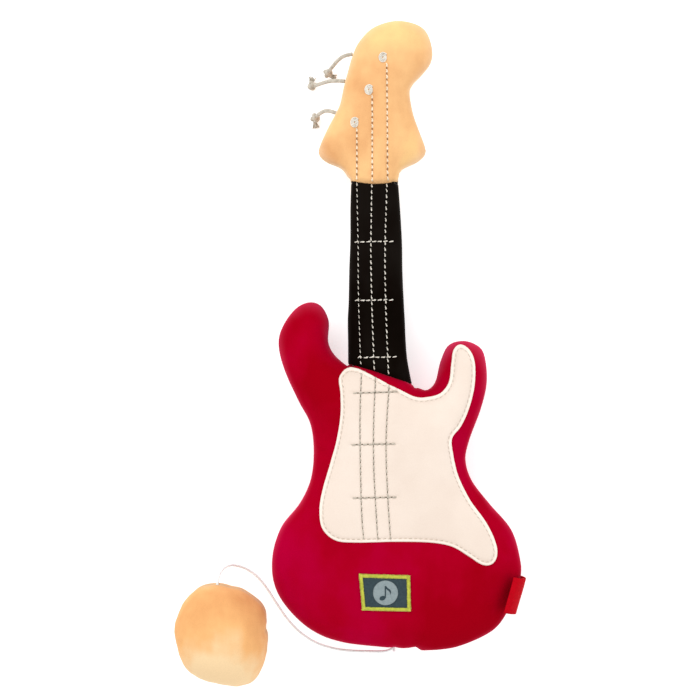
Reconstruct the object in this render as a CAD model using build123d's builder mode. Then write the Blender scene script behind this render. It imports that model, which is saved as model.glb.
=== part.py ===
from build123d import *

import math
import os

os.makedirs("parts", exist_ok=True)

# A plush guitar lies on its back: +Z up, the headstock towards +Y, millimetres.
# Outlines are drawn about the guitar's own middle. ORIGIN_SHIFT then moves every piece, so that
# the origin is on the floor, under the middle of the guitar and its pull ball together.
ORIGIN_SHIFT = (28.23, 8.4)

# Soft shells
FABRIC = 1.0  # velour with its backing
SEAM_Z = 24.0  # front and back panels are sewn together at this height
BODY_HALF, BODY_EDGE = 24.0, 10.0  # half thickness and edge radius
NECK_HALF, NECK_EDGE = 14.0, 11.0
HEAD_HALF, HEAD_EDGE = 13.0, 3.6
APPLIQUE = 0.9  # cream cloth sewn on the front
THREAD = 0.4  # height of one layer of stitching
THREAD_WIDTH = 0.9
POCKET_GAP = 0.4  # between the stuffing and the movement's case

# Neck to body seam, slanted in plan
SEAM_LEFT = (-28.2, -16.8)
SEAM_SLOPE = -0.3175
NECK_TOP_Y = 87.9

# Pull cord and ball
CORD_D = 1.5
CORD_X = -2.6  # where the cord leaves the bottom seam
CORD_EXIT = (CORD_X, -180.6, SEAM_Z)
BALL_R = 27.4
BALL_CENTRE = (-101.3, -170.1, BALL_R - 0.8)
BALL_MOUTH_Y = BALL_CENTRE[1] + BALL_R
TUNER_D = 2.3
TUNER_KNOT_D = 5.0

# Movement
CASE_LOW, CASE_HIGH = (-27.6, -134.8, 11.0), (24.4, -87.2, 37.0)
CASE_WALL = 1.6
MODULE, PRESSURE_ANGLE = 0.5, math.radians(25)
ADDENDUM, DEDENDUM, BACKLASH = 0.8 * MODULE, 1.05 * MODULE, 0.05
DRUM_TEETH, CYLINDER_PINION_TEETH = 56, 14
CYLINDER_TEETH, GOVERNOR_PINION_TEETH = 40, 10
GOVERNOR_TEETH, FAN_PINION_TEETH = 36, 10
DRUM_R = 8.0  # the core that the cord winds on
ARBOR_R, FINE_ARBOR_R, RUNNING_FIT = 1.0, 0.6, 0.05
DRUM_AXIS = (CORD_X - DRUM_R - CORD_D / 2, -112.0)


def seam_point(x):
    """The point of the slanted neck seam at x."""
    return (x, SEAM_LEFT[1] + SEAM_SLOPE * (x - SEAM_LEFT[0]))


def step_from(point, distance, degrees):
    """The point at a distance and direction from another one, in plan."""
    angle = math.radians(degrees)
    return (point[0] + distance * math.cos(angle), point[1] + distance * math.sin(angle))


def centre_distance(teeth_a, teeth_b):
    return MODULE * (teeth_a + teeth_b) / 2


TO_CYLINDER, TO_GOVERNOR, TO_FAN = 0.0, -60.0, 186.0  # directions from arbor to arbor, degrees
CYLINDER_AXIS = step_from(
    DRUM_AXIS, centre_distance(DRUM_TEETH, CYLINDER_PINION_TEETH), TO_CYLINDER
)
GOVERNOR_AXIS = step_from(
    CYLINDER_AXIS, centre_distance(CYLINDER_TEETH, GOVERNOR_PINION_TEETH), TO_GOVERNOR
)
FAN_AXIS = step_from(GOVERNOR_AXIS, centre_distance(GOVERNOR_TEETH, FAN_PINION_TEETH), TO_FAN)

# Outlines in plan: each corner is rounded as generously as its two runs allow.
BODY_OUTLINE = [
    seam_point(10.5), (19.9, -30.8), (24, -7), (31.5, -1.8), (44.5, -2.4), (51, -11), (51.2, -27),
    (34.5, -72.5), (55.5, -98.5), (71, -121), (69.5, -145), (54, -173), (18, -181),
    (-41, -176.6), (-65.5, -159.5), (-75, -129), (-61.5, -100), (-46.5, -73), (-52, -48),
    (-68.8, -12), (-67.3, 7), (-55, 21), (-43.5, 19), (-38, 8.5), (-41.8, -5.2),
    seam_point(-31.5),
]  # fmt: skip
NECK_OUTLINE = [SEAM_LEFT, seam_point(5), (0.3, NECK_TOP_Y), (-27.7, NECK_TOP_Y)]
HEAD_OUTLINE = [
    (-25, NECK_TOP_Y), (-30, 91), (-34.5, 97.4), (-47, 99.2), (-46.2, 110), (-34.3, 131),
    (-31.6, 147), (-28, 161), (-20.5, 176), (-1, 182.4), (17.5, 175), (20.3, 159), (6.2, 143),
    (8.3, 127), (17.2, 109), (16.2, 99.4), (6, 97.4), (1.8, 91), (-3, NECK_TOP_Y),
]  # fmt: skip
PICKGUARD_OUTLINE = [
    (-26.1, -18.2), (-34.1, -22.7), (-33.3, -47.1), (-36.8, -64.7), (-44.8, -94), (-43.8, -108.6),
    (-32.9, -115.9), (18.9, -114.7), (35, -119.9), (50.6, -130.6), (55.6, -121.8), (48.2, -107.2),
    (35, -89.1), (29.2, -70.5), (26.7, -57.3), (35, -49.5), (40.9, -30.5), (41.8, -13.9), (34.5, -3.6),
    (29.1, -11.9), (27.2, -28), (19.9, -34.4), (8.1, -35.4),
]  # fmt: skip
BADGE_OUTLINE = [(-23, -132.8), (5.4, -133.6), (6.6, -153.6), (-21.7, -153.2)]

# Lines of stitching in plan
STRINGS = {
    "left": {
        "head": [(-23.9, 115.6), (-23.8, 88.3)],
        "neck": [(-23.8, 87.5), (-23.1, 50), (-22.9, 23.2), (-21.8, -12.4), (-21.5, -17.9)],
        "body": [(-21.3, -21.3), (-22.1, -46.1), (-21.8, -75.4), (-21.1, -101.7), (-20, -114.4)],
    },
    "middle": {
        "head": [(-15.3, 134.3), (-15.2, 88.3)],
        "neck": [(-15.4, 87.5), (-15.9, 50), (-15.5, 23.2), (-14.3, -11.9), (-13.8, -20.3)],
        "body": [(-13.4, -23.2), (-14.5, -48), (-14.5, -71.4), (-13.6, -91), (-12.2, -114.8)],
    },
    "right": {
        "head": [(-7.1, 152.2), (-6.5, 88.3)],
        "neck": [(-6.9, 87.5), (-8, 50), (-7.8, 23.2), (-6.5, -11.9), (-5.9, -22.8)],
        "body": [(-5.8, -28.5), (-7.1, -46.1), (-7.6, -65.6), (-6.6, -91), (-5.1, -114.4)],
    },
}
FRETS = [((-25, 52.5), (-3.4, 52.5)), ((-24.9, 19.6), (-3.5, 19.6)), ((-23.2, -12.5), (-1.5, -12.5))]
PICKUPS = [
    ((-26.1, -32.5), (-1.2, -32.5)), ((-26.8, -61.1), (-2.4, -61.1)), ((-26.3, -90.9), (-1.9, -90.9)),
]  # fmt: skip
TUNER_SPOTS = [(-9.1, 156), (-17, 137.7), (-25, 119.3)]
SPOT_R = 2.35

# Cord routes: corners of straight runs, joined by tangent arcs
PULL_ROUTE = [
    CORD_EXIT, (-3.6, -183, 23.4), (-8.4, -184, 20.6), (-17.4, -183.4, 14.8),
    (-28, -183.4, 7.8), (-38.8, -182.6, 2.8), (-49.2, -179.2, 0.9), (-58.2, -172.8, 0.85),
    (-65.4, -164.6, 0.85), (-71.2, -155.8, 0.85), (-76.2, -147.8, 0.85), (-81.4, -141.2, 0.85),
    (-87, -136.8, 1.8), (-92.6, -134, 5.8), (-97.4, -132.6, 12.6), (-101, -134.2, 20),
    (-102.8, -138, 25.2), (-103, BALL_MOUTH_Y, 26.6),
]  # fmt: skip
TUNER_ROUTES = {
    "upper": [
        (-27.7, 160.2, 24), (-30.9, 159.8, 22.4), (-34.6, 157.8, 18.6), (-37.2, 155.6, 13.4),
        (-39.2, 153.9, 7.8), (-41.2, 153.2, 3), (-39.6, 151.6, 1.5), (-36.9, 150.6, 1.2),
    ],
    "middle": [
        (-31.9, 144.9, 24), (-34.8, 145.3, 22.6), (-38.4, 145.8, 18.6), (-42, 146, 13),
        (-45.8, 145.6, 7.2), (-49.8, 145.3, 2.8), (-51, 147.2, 1.5), (-49.2, 149.6, 1.2),
    ],
    "lower": [
        (-36.6, 126.8, 24), (-39, 128, 22.8), (-41.8, 128.6, 19), (-44.2, 128.5, 13.4),
        (-46.2, 127.9, 7.6), (-48.4, 127.2, 2.9), (-48.4, 124.6, 1.6), (-47.6, 121.8, 1.2),
    ],
}  # fmt: skip
TUNER_KNOT_POINT = 5  # index of the route's point inside the knot


def corner_radii(points, share, closed):
    """The radius of each corner: a share of its shorter run, over the tangent of half the turn."""
    vectors = [Vector(*point) for point in points]
    if closed:
        vectors = [vectors[-1], *vectors, vectors[0]]
    radii = []
    for before, here, after in zip(vectors, vectors[1:], vectors[2:]):
        run_in, run_out = here - before, after - here
        half_turn = math.radians(run_in.get_angle(run_out)) / 2
        radii.append(share * min(run_in.length, run_out.length) / math.tan(half_turn))
    return radii


def save(part, name):
    """Moves a finished piece to the shared frame and writes it."""
    moved = part.moved(Location((*ORIGIN_SHIFT, 0)))
    moved.label = name
    export_step(moved, f"parts/{name}.step")


def prism(outline, low, high, rounded=True, grow=0.0):
    """An upright solid over a closed outline."""
    with BuildPart() as solid:
        with BuildSketch(Plane.XY.offset(low)):
            with BuildLine():
                if rounded:
                    radii = corner_radii(outline, 0.49, closed=True)
                    FilletPolyline(*outline, radius=radii, close=True)
                else:
                    Polyline(*outline, close=True)
            make_face()
            if grow:
                offset(amount=grow, kind=Kind.ARC if rounded else Kind.INTERSECTION)
        extrude(amount=high - low)
    return solid.part


def pillow(outline, half, edge, grow=0.0):
    """A stuffed shape: the outline, grown or shrunk, with its front and back edges rounded."""
    with BuildPart() as solid:
        add(prism(outline, SEAM_Z - half - grow, SEAM_Z + half + grow, grow=grow))
        fillet(solid.edges().filter_by(Plane.XY), radius=edge + grow)
    return solid.part


def neck_form(grow=0.0):
    """The neck: its long edges are rounded, and its two ends are flat seams."""
    low, high = SEAM_Z - NECK_HALF - grow, SEAM_Z + NECK_HALF + grow
    with BuildPart() as solid:
        add(prism(NECK_OUTLINE, low, high, rounded=False, grow=grow))
        long_edges = solid.edges().filter_by(Plane.XY)
        long_edges = long_edges.filter_by(lambda edge: abs(edge.tangent_at(0.5).Y) > 0.9)
        fillet(long_edges, radius=NECK_EDGE + grow)
    return solid.part


def rod(start, end, radius):
    """A straight round bar between two points."""
    along = Vector(*end) - Vector(*start)
    with BuildPart() as bar:
        with BuildSketch(Plane(origin=start, z_dir=along)):
            Circle(radius)
        extrude(amount=along.length)
    return bar.part


def ring(axis, low, high, outer, inner=0.0):
    """A disc or a ring about an upright axis."""
    with BuildPart() as disc:
        with BuildSketch(Plane.XY.offset(low)):
            with Locations(axis):
                Circle(outer)
                if inner:
                    Circle(inner, mode=Mode.SUBTRACT)
        extrude(amount=high - low)
    return disc.part


def box_between(low, high):
    """A block between two opposite corners."""
    with BuildPart() as block:
        with Locations(low):
            Box(*(h - l for l, h in zip(low, high)), align=(Align.MIN,) * 3)
    return block.part


def combine(base, adds=(), keeps=(), cuts=()):
    """A base solid with others added, then cut down to what it shares, then cut away."""
    with BuildPart() as solid:
        add(base)
        for other in adds:
            add(other)
        for other in keeps:
            add(other, mode=Mode.INTERSECT)
        for other in cuts:
            add(other, mode=Mode.SUBTRACT)
    return solid.part


def save_panels(name, outer, inner, cuts=()):
    """Writes the fabric skin between two solids as a front and a back panel."""
    skin = combine(outer, cuts=(inner, *cuts))
    for side, keep in (("front", Keep.TOP), ("back", Keep.BOTTOM)):
        with BuildPart() as panel:
            add(skin)
            split(bisect_by=Plane.XY.offset(SEAM_Z), keep=keep)
        save(panel.part, f"{name}_{side}_panel")


def thread_prism(lines):
    """Upright walls over lines of stitching, to be cut down to one layer."""
    with BuildPart() as wall:
        with BuildSketch(Plane.XY.offset(SEAM_Z)):
            for points in lines:
                with BuildLine() as stitches:
                    Polyline(*points)
                trace(stitches.line, THREAD_WIDTH)
        extrude(amount=2 * BODY_HALF)
    return wall.part


def cord_tube(name, route, diameter):
    """A tube along a cord's route, checked against its length and tightest arc."""
    radii = corner_radii(route, 0.45, closed=False)
    with BuildPart() as tube:
        with BuildLine() as path:
            FilletPolyline(*route, radius=radii)
        with BuildSketch(Plane(origin=path.line @ 0, z_dir=path.line % 0)):
            Circle(diameter / 2)
        sweep(path=path.line)
    length = path.wires()[0].length
    share = tube.part.volume / (length * math.pi * diameter**2 / 4)
    print(name, "length", round(length, 1), "radii", [round(r, 1) for r in radii])
    print(name, "volume over section times length", round(share, 4))
    return tube.part


def gear(teeth, axis, low, high, tooth_at, bore):
    """An involute spur gear with one tooth centred on a given direction, in degrees."""
    pitch_r = MODULE * teeth / 2
    base_r = pitch_r * math.cos(PRESSURE_ANGLE)
    tip_r, root_r = pitch_r + ADDENDUM, pitch_r - DEDENDUM
    half_tooth = (math.pi / 2 * MODULE - BACKLASH) / 2 / pitch_r
    flare = math.tan(PRESSURE_ANGLE) - PRESSURE_ANGLE

    def half_angle(radius):
        """Half the tooth's angular width at a radius."""
        roll = math.acos(min(1.0, base_r / radius))
        return half_tooth + flare - (math.tan(roll) - roll)

    start_r = max(base_r, root_r)
    flank = [start_r + (tip_r - start_r) * part / 3 for part in range(4)]
    polar = [(root_r, -half_angle(start_r))] if root_r < start_r else []
    polar += [(radius, -half_angle(radius)) for radius in flank]
    polar += [(radius, -angle) for radius, angle in reversed(polar)]
    points = []
    for tooth in range(teeth):
        middle = math.radians(tooth_at) + 2 * math.pi * tooth / teeth
        points += [
            (axis[0] + r * math.cos(middle + a), axis[1] + r * math.sin(middle + a))
            for r, a in polar
        ]
    with BuildPart() as wheel:
        with BuildSketch(Plane.XY.offset(low)):
            with BuildLine():
                Polyline(*points, close=True)
            make_face()
            with Locations(axis):
                Circle(bore, mode=Mode.SUBTRACT)
        extrude(amount=high - low)
    return wheel.part


def save_gear_pair(names, teeth, axes, levels, direction, bores):
    """Two gears in mesh: a tooth of the first points into a gap of the second."""
    low, high = levels
    gap = direction + 180 + 180 / teeth[1]
    save(gear(teeth[0], axes[0], low, high, direction, bores[0]), names[0])
    save(gear(teeth[1], axes[1], low, high, gap, bores[1]), names[1])


# Body, neck and headstock
case_room = box_between(
    tuple(value - POCKET_GAP for value in CASE_LOW), tuple(value + POCKET_GAP for value in CASE_HIGH)
)
DRUM_CORD_Z, CORD_ROOM = 18.5, 0.5
INNER_CORD_START = (CORD_X, DRUM_AXIS[1] - 5.6, DRUM_CORD_Z)  # just clear of the winding
CHANNEL_END = (CORD_X, CORD_EXIT[1] - 2.4, SEAM_Z + 0.2)
cord_channel = rod(INNER_CORD_START, CHANNEL_END, CORD_D / 2 + CORD_ROOM)
body_outer = pillow(BODY_OUTLINE, BODY_HALF, BODY_EDGE)
body_inner = pillow(BODY_OUTLINE, BODY_HALF, BODY_EDGE, -FABRIC)
save_panels("body", body_outer, body_inner, cuts=(cord_channel,))
save(combine(body_inner, cuts=(case_room, cord_channel)), "body_stuffing")

neck_outer, neck_inner = neck_form(), neck_form(-FABRIC)
save_panels("neck", neck_outer, neck_inner)
save(neck_inner, "neck_stuffing")

head_outer = pillow(HEAD_OUTLINE, HEAD_HALF, HEAD_EDGE)
head_inner = pillow(HEAD_OUTLINE, HEAD_HALF, HEAD_EDGE, -FABRIC)
save_panels("headstock", head_outer, head_inner)
save(head_inner, "headstock_stuffing")

# Pickguard and stitching: each is a slice of a thin layer that follows the stuffed shape
TOPSTITCH_INSET = 2.0
applique_top = pillow(BODY_OUTLINE, BODY_HALF, BODY_EDGE, APPLIQUE)
thread_top = pillow(BODY_OUTLINE, BODY_HALF, BODY_EDGE, APPLIQUE + THREAD)
string_top = pillow(BODY_OUTLINE, BODY_HALF, BODY_EDGE, APPLIQUE + 2 * THREAD)
WALL_PAST = 5.0  # how far the upright walls reach past the layer that they are cut to
wall_low, wall_high = SEAM_Z + WALL_PAST, SEAM_Z + BODY_HALF + WALL_PAST
guard_wall = prism(PICKGUARD_OUTLINE, wall_low, wall_high)
save(combine(guard_wall, keeps=(applique_top,), cuts=(body_outer,)), "pickguard")
ring_outside = prism(PICKGUARD_OUTLINE, wall_low, wall_high, grow=-TOPSTITCH_INSET)
ring_inside = prism(PICKGUARD_OUTLINE, wall_low, wall_high, grow=-TOPSTITCH_INSET - THREAD_WIDTH)
topstitch_wall = combine(ring_outside, cuts=(ring_inside,))
save(combine(topstitch_wall, keeps=(thread_top,), cuts=(applique_top,)), "pickguard_topstitch")
pickup_walls = combine(thread_prism(PICKUPS), cuts=(topstitch_wall,))
save(combine(pickup_walls, keeps=(thread_top,), cuts=(applique_top,)), "pickup_threads")

neck_frets_top, neck_strings_top = neck_form(THREAD), neck_form(2 * THREAD)
head_string_top = pillow(HEAD_OUTLINE, HEAD_HALF, HEAD_EDGE, THREAD)
save(combine(thread_prism(FRETS), keeps=(neck_frets_top,), cuts=(neck_outer,)), "fret_threads")
string_layers = {
    "head": (head_string_top, head_outer),
    "neck": (neck_strings_top, neck_frets_top),
    "body": (string_top, thread_top),
}
for side, lines in STRINGS.items():
    pieces = []
    for place, points in lines.items():
        upper, lower = string_layers[place]
        pieces.append(combine(thread_prism([points]), keeps=(upper,), cuts=(lower,)))
    save(combine(pieces[0], adds=pieces[1:]), f"string_thread_{side}")

with BuildPart() as tuner_spots:
    with BuildSketch(Plane.XY.offset(SEAM_Z + HEAD_HALF)):
        with Locations(*TUNER_SPOTS):
            Circle(SPOT_R)
    extrude(amount=2 * THREAD)
save(tuner_spots.part, "tuner_spots")

# Badge: a patch with a raised border and a round medallion with a music note
PATCH, BORDER, BORDER_WIDTH = 0.8, 0.6, 1.9
patch_low = SEAM_Z + BODY_HALF
patch_high = patch_low + PATCH
MEDALLION_R, BADGE_CENTRE = 7.0, (-8.1, -143.4)
NOTE_HEIGHT, NOTE_HEAD, NOTE_STEM, NOTE_FLAG = 8.0, (2.0, 1.6), 0.8, (3.2, 1.4)
NOTE_LEFT = 1.3  # the note's head is this far left of the medallion's middle
save(prism(BADGE_OUTLINE, patch_low, patch_high, rounded=False), "badge_patch")
border_hole = prism(BADGE_OUTLINE, patch_high, patch_high + 2, rounded=False, grow=-BORDER_WIDTH)
border = prism(BADGE_OUTLINE, patch_high, patch_high + BORDER, rounded=False)
save(combine(border, cuts=(border_hole,)), "badge_border")
save(ring(BADGE_CENTRE, patch_high, patch_high + THREAD, MEDALLION_R), "badge_medallion")
note_x, note_y = BADGE_CENTRE
with BuildPart() as badge_note:
    with BuildSketch(Plane.XY.offset(patch_high + THREAD)):
        with Locations((note_x - NOTE_LEFT, note_y - NOTE_HEIGHT / 2 + 1)):
            Ellipse(*NOTE_HEAD)
        with Locations((note_x - NOTE_LEFT + NOTE_HEAD[0] - NOTE_STEM / 2, note_y)):
            Rectangle(NOTE_STEM, NOTE_HEIGHT - 2)
        with Locations((note_x + NOTE_FLAG[1], note_y + NOTE_HEIGHT / 2 - NOTE_HEAD[1])):
            Rectangle(*NOTE_FLAG, rotation=-20)
    extrude(amount=THREAD)
save(badge_note.part, "badge_note")

# Side tag: a folded ribbon sewn in the right seam, turned up along the side
TAG_START, TAG_END = (69.0, -137.9), (62.9, -156.6)
TAG_THICK = 0.9
TAG_FOLD = [(-1, 0), (2.6, 0.6), (3.0, 14), (-1.2, 20.5)]  # outwards from the seam, and up from it
TAG_BENDS = (1.6, 5)
tag_middle = ((TAG_START[0] + TAG_END[0]) / 2, (TAG_START[1] + TAG_END[1]) / 2, SEAM_Z)
tag_run = Vector(*TAG_END) - Vector(*TAG_START)
tag_out = Vector(-tag_run.Y, tag_run.X, 0).normalized()
with BuildPart() as side_tag:
    with BuildSketch(Plane(origin=tag_middle, x_dir=tag_out, z_dir=tag_run)):
        with BuildLine() as tag_profile:
            FilletPolyline(*TAG_FOLD, radius=TAG_BENDS)
        trace(tag_profile.line, TAG_THICK)
    extrude(amount=tag_run.length / 2, both=True)
    add(body_outer, mode=Mode.SUBTRACT)
save(side_tag.part.solids().sort_by(SortBy.VOLUME)[-1], "side_tag")

# Tuner cords, each with a knot near its end
for name, route in TUNER_ROUTES.items():
    tube = cord_tube(f"tuner_cord_{name}", route, TUNER_D)
    with BuildPart() as knot:
        with Locations(route[TUNER_KNOT_POINT]):
            Sphere(TUNER_KNOT_D / 2)
    save(knot.part, f"tuner_knot_{name}")
    save(combine(tube, cuts=(head_outer, knot.part)), f"tuner_cord_{name}")

# Pull cord: outside it lies in an arc to the ball, inside it runs to the drum
inner_cord = rod(INNER_CORD_START, CORD_EXIT, CORD_D / 2)
save(inner_cord, "inner_cord")
pull_tube = cord_tube("pull_cord", PULL_ROUTE, CORD_D)


def ball_form(inset=0.0):
    """The stuffed ball, with a small flat where it rests."""
    with BuildPart() as ball:
        with Locations(BALL_CENTRE):
            Sphere(BALL_R - inset)
        with Locations((BALL_CENTRE[0], BALL_CENTRE[1], inset)):
            Box(2 * BALL_R, 2 * BALL_R, BALL_R, align=(Align.CENTER, Align.CENTER, Align.MAX),
                mode=Mode.SUBTRACT)  # fmt: skip
    return ball.part


BALL_SEAM_Z = BALL_CENTRE[2]
KNOT_Y, KNOT_R = BALL_MOUTH_Y - 6, 2.2
KNOT_ROOM, MOUTH_ROOM = 0.2, 0.15
ball_outer, ball_inner = ball_form(), ball_form(FABRIC)
knot_place = (PULL_ROUTE[-1][0], KNOT_Y, PULL_ROUTE[-1][2])
inside_run = rod((knot_place[0], KNOT_Y + KNOT_R - 0.3, knot_place[2]), PULL_ROUTE[-1], CORD_D / 2)
with BuildPart() as knot_room:
    with Locations(knot_place):
        Sphere(KNOT_R + KNOT_ROOM)
mouth = rod(knot_place, (knot_place[0], BALL_MOUTH_Y + 2, knot_place[2]), CORD_D / 2 + MOUTH_ROOM)
with BuildPart() as ball_cord_knot:
    with Locations(knot_place):
        Sphere(KNOT_R)
    add(inside_run)
save(combine(pull_tube, cuts=(inner_cord, ball_cord_knot.part)), "pull_cord")
save(ball_cord_knot.part, "ball_cord_knot")
save(combine(ball_inner, cuts=(knot_room.part, mouth)), "ball_stuffing")
ball_skin = combine(ball_outer, cuts=(ball_inner, mouth, pull_tube))
for side, keep in (("front", Keep.TOP), ("back", Keep.BOTTOM)):
    with BuildPart() as ball_panel:
        add(ball_skin)
        split(bisect_by=Plane.XY.offset(BALL_SEAM_Z), keep=keep)
    save(ball_panel.part, f"ball_{side}_panel")

# Movement: levels of the train, from the case's floor to its cover
floor_z, cover_z = CASE_LOW[2] + CASE_WALL, CASE_HIGH[2] - CASE_WALL
BOSS, BOSS_R, BORE_DEPTH = 0.7, 2.2, 1.6
WHEEL_THICK, FINE_WHEEL_THICK, TOP_WHEEL_THICK = 1.4, 1.1, 1.2
END_SHAKE, LEVEL_GAP, TOP_GAP = 0.2, 0.4, 0.3
first_low = floor_z + BOSS + END_SHAKE
FIRST_LEVEL = (first_low, first_low + WHEEL_THICK)
SECOND_LEVEL = (FIRST_LEVEL[1] + LEVEL_GAP, FIRST_LEVEL[1] + LEVEL_GAP + FINE_WHEEL_THICK)
TOP_LEVEL = (cover_z - BOSS - TOP_GAP - TOP_WHEEL_THICK, cover_z - BOSS - TOP_GAP)
CYLINDER_LEVEL = (SECOND_LEVEL[1] + LEVEL_GAP, TOP_LEVEL[0] - LEVEL_GAP)
AXES = {
    "drum": (DRUM_AXIS, ARBOR_R),
    "cylinder": (CYLINDER_AXIS, ARBOR_R),
    "governor": (GOVERNOR_AXIS, FINE_ARBOR_R),
    "fan": (FAN_AXIS, FINE_ARBOR_R),
}
COMB_POST_X, COMB_POST_DEPTH = (-4.5, -1.0), 3.2  # from the cylinder's axis, and off the wall
COMB_POST_LOW = (
    CYLINDER_AXIS[0] + COMB_POST_X[0], CASE_HIGH[1] - CASE_WALL - COMB_POST_DEPTH, floor_z
)  # fmt: skip
COMB_POST_HIGH = (CYLINDER_AXIS[0] + COMB_POST_X[1], CASE_HIGH[1] - CASE_WALL, cover_z - 0.1)
SCREW_INSET, SCREW_R, SCREW_HOLE, SCREW_LENGTH, POST_R = 3.4, 0.88, 0.9, 7.0, 2.4
SCREW_HEAD_R, SCREW_HEAD, HEAD_ROOM = 1.8, 0.7, 0.1
CASE_CORNER = 3.0
screw_places = [
    (x, y)
    for x in (CASE_LOW[0] + SCREW_INSET, CASE_HIGH[0] - SCREW_INSET)
    for y in (CASE_LOW[1] + SCREW_INSET, CASE_HIGH[1] - SCREW_INSET)
]

with BuildPart() as case_base:
    add(box_between(CASE_LOW, (*CASE_HIGH[:2], cover_z)))
    fillet(case_base.edges().filter_by(Axis.Z), radius=CASE_CORNER)
    cavity_low = (CASE_LOW[0] + CASE_WALL, CASE_LOW[1] + CASE_WALL, floor_z)
    cavity_high = (CASE_HIGH[0] - CASE_WALL, CASE_HIGH[1] - CASE_WALL, CASE_HIGH[2])
    add(box_between(cavity_low, cavity_high), mode=Mode.SUBTRACT)
    for axis, radius in AXES.values():
        add(ring(axis, floor_z, floor_z + BOSS, BOSS_R))
        bore = ring(axis, floor_z + BOSS - BORE_DEPTH, floor_z + BOSS, radius + RUNNING_FIT)
        add(bore, mode=Mode.SUBTRACT)
    for place in screw_places:
        add(ring(place, floor_z, cover_z, POST_R))
        add(ring(place, cover_z - SCREW_LENGTH - 1, cover_z, SCREW_HOLE), mode=Mode.SUBTRACT)
    add(box_between(COMB_POST_LOW, COMB_POST_HIGH))
    add(cord_channel, mode=Mode.SUBTRACT)
GUIDE_R, GUIDE_PAST, GUIDE_BORE = 2.6, (0.2, 0.8), 0.2  # past the wall outside and inside
guide_y = CASE_LOW[1]
guide = rod(
    (CORD_X, guide_y - GUIDE_PAST[0], 0), (CORD_X, guide_y + CASE_WALL + GUIDE_PAST[1], 0), GUIDE_R
)
guide_z = DRUM_CORD_Z + (SEAM_Z - DRUM_CORD_Z) * (INNER_CORD_START[1] - guide_y) / (
    INNER_CORD_START[1] - CORD_EXIT[1]
)
guide = guide.moved(Location((0, 0, guide_z)))
case_bottom_half = combine(case_base.part, cuts=(guide,))
guide_bore = rod(INNER_CORD_START, CORD_EXIT, CORD_D / 2 + GUIDE_BORE)
save(combine(guide, cuts=(guide_bore,)), "cord_guide")

with BuildPart() as case_cover:
    add(box_between((*CASE_LOW[:2], cover_z), CASE_HIGH))
    fillet(case_cover.edges().filter_by(Axis.Z), radius=CASE_CORNER)
    for axis, radius in AXES.values():
        add(ring(axis, cover_z - BOSS, cover_z, BOSS_R))
        bore = ring(axis, cover_z - BOSS, cover_z - BOSS + BORE_DEPTH, radius + RUNNING_FIT)
        add(bore, mode=Mode.SUBTRACT)
    for place in screw_places:
        add(ring(place, cover_z, CASE_HIGH[2], SCREW_HOLE + HEAD_ROOM), mode=Mode.SUBTRACT)
        sink = CASE_HIGH[2] - SCREW_HEAD - HEAD_ROOM
        add(ring(place, sink, CASE_HIGH[2], SCREW_HEAD_R + HEAD_ROOM), mode=Mode.SUBTRACT)
save(case_cover.part, "case_cover")

with BuildPart() as case_screws:
    for place in screw_places:
        add(ring(place, cover_z - SCREW_LENGTH, CASE_HIGH[2] - SCREW_HEAD, SCREW_R))
        add(ring(place, CASE_HIGH[2] - SCREW_HEAD, CASE_HIGH[2], SCREW_HEAD_R))
save(case_screws.part, "case_screws")

# Arbors
END_GAP = 0.1
arbor_low, arbor_high = floor_z + BOSS - BORE_DEPTH + END_GAP, cover_z - BOSS + BORE_DEPTH - END_GAP
for name, (axis, radius) in AXES.items():
    save(ring(axis, arbor_low, arbor_high, radius), f"{name}_arbor")

# Gears
save_gear_pair(
    ("drum_wheel", "cylinder_pinion"), (DRUM_TEETH, CYLINDER_PINION_TEETH),
    (DRUM_AXIS, CYLINDER_AXIS), FIRST_LEVEL, TO_CYLINDER, (ARBOR_R, ARBOR_R),
)  # fmt: skip
save_gear_pair(
    ("cylinder_wheel", "governor_pinion"), (CYLINDER_TEETH, GOVERNOR_PINION_TEETH),
    (CYLINDER_AXIS, GOVERNOR_AXIS), TOP_LEVEL, TO_GOVERNOR, (ARBOR_R, FINE_ARBOR_R),
)  # fmt: skip
save_gear_pair(
    ("governor_wheel", "fan_pinion"), (GOVERNOR_TEETH, FAN_PINION_TEETH),
    (GOVERNOR_AXIS, FAN_AXIS), SECOND_LEVEL, TO_FAN, (FINE_ARBOR_R, FINE_ARBOR_R),
)  # fmt: skip

# Drum: the cord's groove below, the mainspring's cup above
FLANGE_R, FLANGE, GROOVE, CUP_WALL, WINDING_GAP = 10.0, 0.8, 4.2, 1.0, 0.2
groove_low = FIRST_LEVEL[1] + FLANGE
groove_high = groove_low + GROOVE
cup_high = TOP_LEVEL[0] - 0.3
cord_drum_shape = combine(
    ring(DRUM_AXIS, FIRST_LEVEL[1], groove_low, FLANGE_R, ARBOR_R),
    adds=(
        ring(DRUM_AXIS, groove_low, groove_high, DRUM_R, ARBOR_R),
        ring(DRUM_AXIS, groove_high, groove_high + FLANGE, FLANGE_R, ARBOR_R),
        ring(DRUM_AXIS, groove_high + FLANGE, cup_high, FLANGE_R, FLANGE_R - CUP_WALL),
    ),
)
save(cord_drum_shape, "cord_drum")
winding_low, winding_high = groove_low + WINDING_GAP, groove_high - WINDING_GAP
save(ring(DRUM_AXIS, winding_low, winding_high, DRUM_R + CORD_D, DRUM_R), "cord_winding")

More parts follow.
